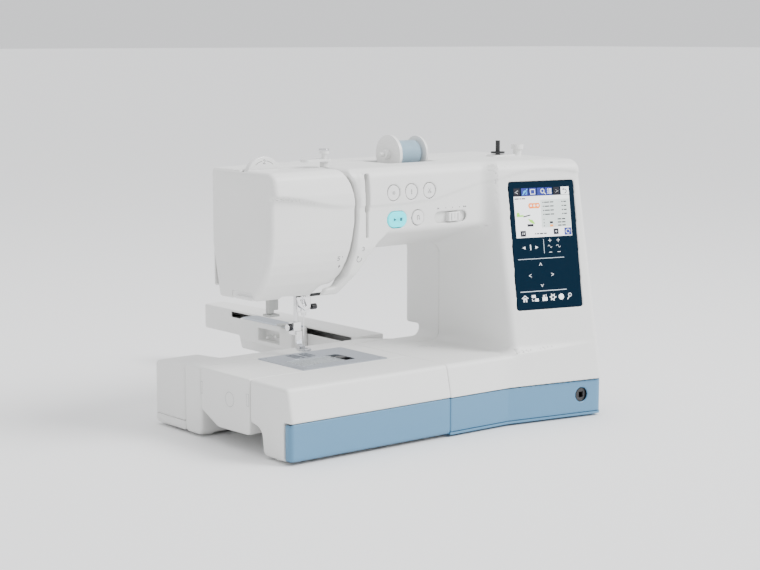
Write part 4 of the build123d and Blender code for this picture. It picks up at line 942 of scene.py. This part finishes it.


# ---- printed marks on the shells, and painted groove shade on the free arm's end ----
def cover_point(x, z, lift=0.12):
    return (x, float(cover_front(np.float64(x), np.float64(z))) - lift, z)


threading = digit(118, 216, 4.6, "5") + stroke([(123, 218), (121.6, 207)], 0.8) + arrow(121.4, 206, 1.9,
                                                                                        263)
print_on("threading_mark_left", cover_point, threading, INK, "face_cover")


def strip_point(x, z):
    return (x, ARM_FRONT + max(0.0, (226 - z) * 0.30) - 0.1, z)


return_mark = digit(147, 226, 4.4, "3") + arc(143.4, 214, 3.4, 130, 380, 0.6) + arrow(140.8, 217, 1.6,
                                                                                      120)
print_on("threading_mark_right", strip_point, return_mark, INK, "machine")

bed_face = on_plane((292, 112, BED_TOP), (0.8, -0.6, 0), (0.6, 0.8, 0), 0.05)
bed_icon = arc(0, 0, 11, 20, 160, 0.4) + arc(0, -3, 14, 35, 145, 0.4) + arc(-4, 4, 3, 0, 360, 0.35)
bed_icon += stroke([(4, 0), (6, 6), (9, 1)], 0.4)
print_on("hoop_guide_mark", bed_face, bed_icon, PALE_INK_AND_SHADE, "machine")

dial_face = on_plane((DIAL_X, DIAL_Y - 4, 309), (1, 0, 0), (0, 0, 1))
dial_mark = digit(0, 18.5, 4.4, "2") + arc(0, 0, 19.5, 100, 128, 0.5) + arc(0, 0, 19.5, 52, 80, 0.5)
print_on("dial_mark", dial_face, dial_mark, INK, "pressure_dial")

# The ring and clip outlines on the free arm's end are painted shade: thin pale lines drawn where the
# real end has shallow grooves.
arm_end = on_plane((0, 0, 0), (0, -1, 0), (0, 0, 1), 0.04)
groove_shade_lines = arc(-120, 57, 8.6, 0, 360, 0.55, 36)
for u in (-178.2, -83.4):
    groove_shade_lines += stroke([(u - 2, 55), (u + 2, 55), (u + 2, 69), (u - 2, 69), (u - 2, 55)], 0.5)
print_on("arm_end_painted_groove_shade", arm_end, groove_shade_lines, PALE_INK_AND_SHADE, "machine")

arm_top = on_plane((ARM_X[0], 0, 88), (1, 0, 0), (0, 1, 0))
ruler = []
for k in range(26):
    ruler += stroke([(6, 240 + 10 * k), (10 if k % 5 else 14, 240 + 10 * k)], 0.45)
print_on("carriage_scale", arm_top, ruler, PALE_INK_AND_SHADE, "carriage_arm")


# ---- camera, floor and light ----
def look(location, direction, lens):
    data = bpy.data.cameras.new("camera")
    data.sensor_width = 36.0
    data.lens = lens
    camera = bpy.data.objects.new("camera", data)
    camera.location = location
    camera.rotation_euler = Vector(direction).to_track_quat("-Z", "Y").to_euler()
    bpy.context.scene.collection.objects.link(camera)
    bpy.context.scene.camera = camera


def area_light(name, location, target, size, watts, colour=(1, 1, 1)):
    data = bpy.data.lights.new(name, "AREA")
    data.shape = "RECTANGLE"
    data.size, data.size_y = size
    data.energy = watts
    data.color = colour
    light = bpy.data.objects.new(name, data)
    light.location = location
    light.rotation_euler = (Vector(target) - Vector(location)).to_track_quat("-Z", "Y").to_euler()
    bpy.context.scene.collection.objects.link(light)


PITCH = math.radians(-8.13)
look((-1.3378, -1.7940, 0.4703), (0.6270 * math.cos(PITCH), 0.7790 * math.cos(PITCH), math.sin(PITCH)),
     82.4)

floor_material, floor_shader = new_material("pale_floor", (0.90, 0.90, 0.90), 0.6)
bump(floor_material, floor_shader, noise(floor_material, 300), 0.05, 0.1)
floor_mesh = bpy.data.meshes.new("floor")
floor_mesh.from_pydata([(-60, -60, 0), (60, -60, 0), (60, 60, 0), (-60, 60, 0)], [], [(0, 1, 2, 3)])
floor_mesh.materials.append(floor_material)
floor = bpy.data.objects.new("floor", floor_mesh)
bpy.context.scene.collection.objects.link(floor)

world = bpy.data.worlds.new("studio")
world.use_nodes = True
world.node_tree.nodes["Background"].inputs["Color"].default_value = (0.97, 0.98, 1.0, 1)
world.node_tree.nodes["Background"].inputs["Strength"].default_value = 1.05
bpy.context.scene.world = world
sun = bpy.data.lights.new("soft_sun", "SUN")
sun.energy = 2.6
sun.angle = math.radians(24)
sun_object = bpy.data.objects.new("soft_sun", sun)
sun_object.rotation_euler = Vector((-1.0, 1.5, -1.6)).to_track_quat("-Z", "Y").to_euler()
bpy.context.scene.collection.objects.link(sun_object)
area_light("key", (1.3, -1.7, 1.9), (0, -0.1, 0.1), (1.4, 1.4), 34)
area_light("top", (-0.2, 0.2, 2.2), (0, 0, 0.1), (2.2, 2.2), 22)
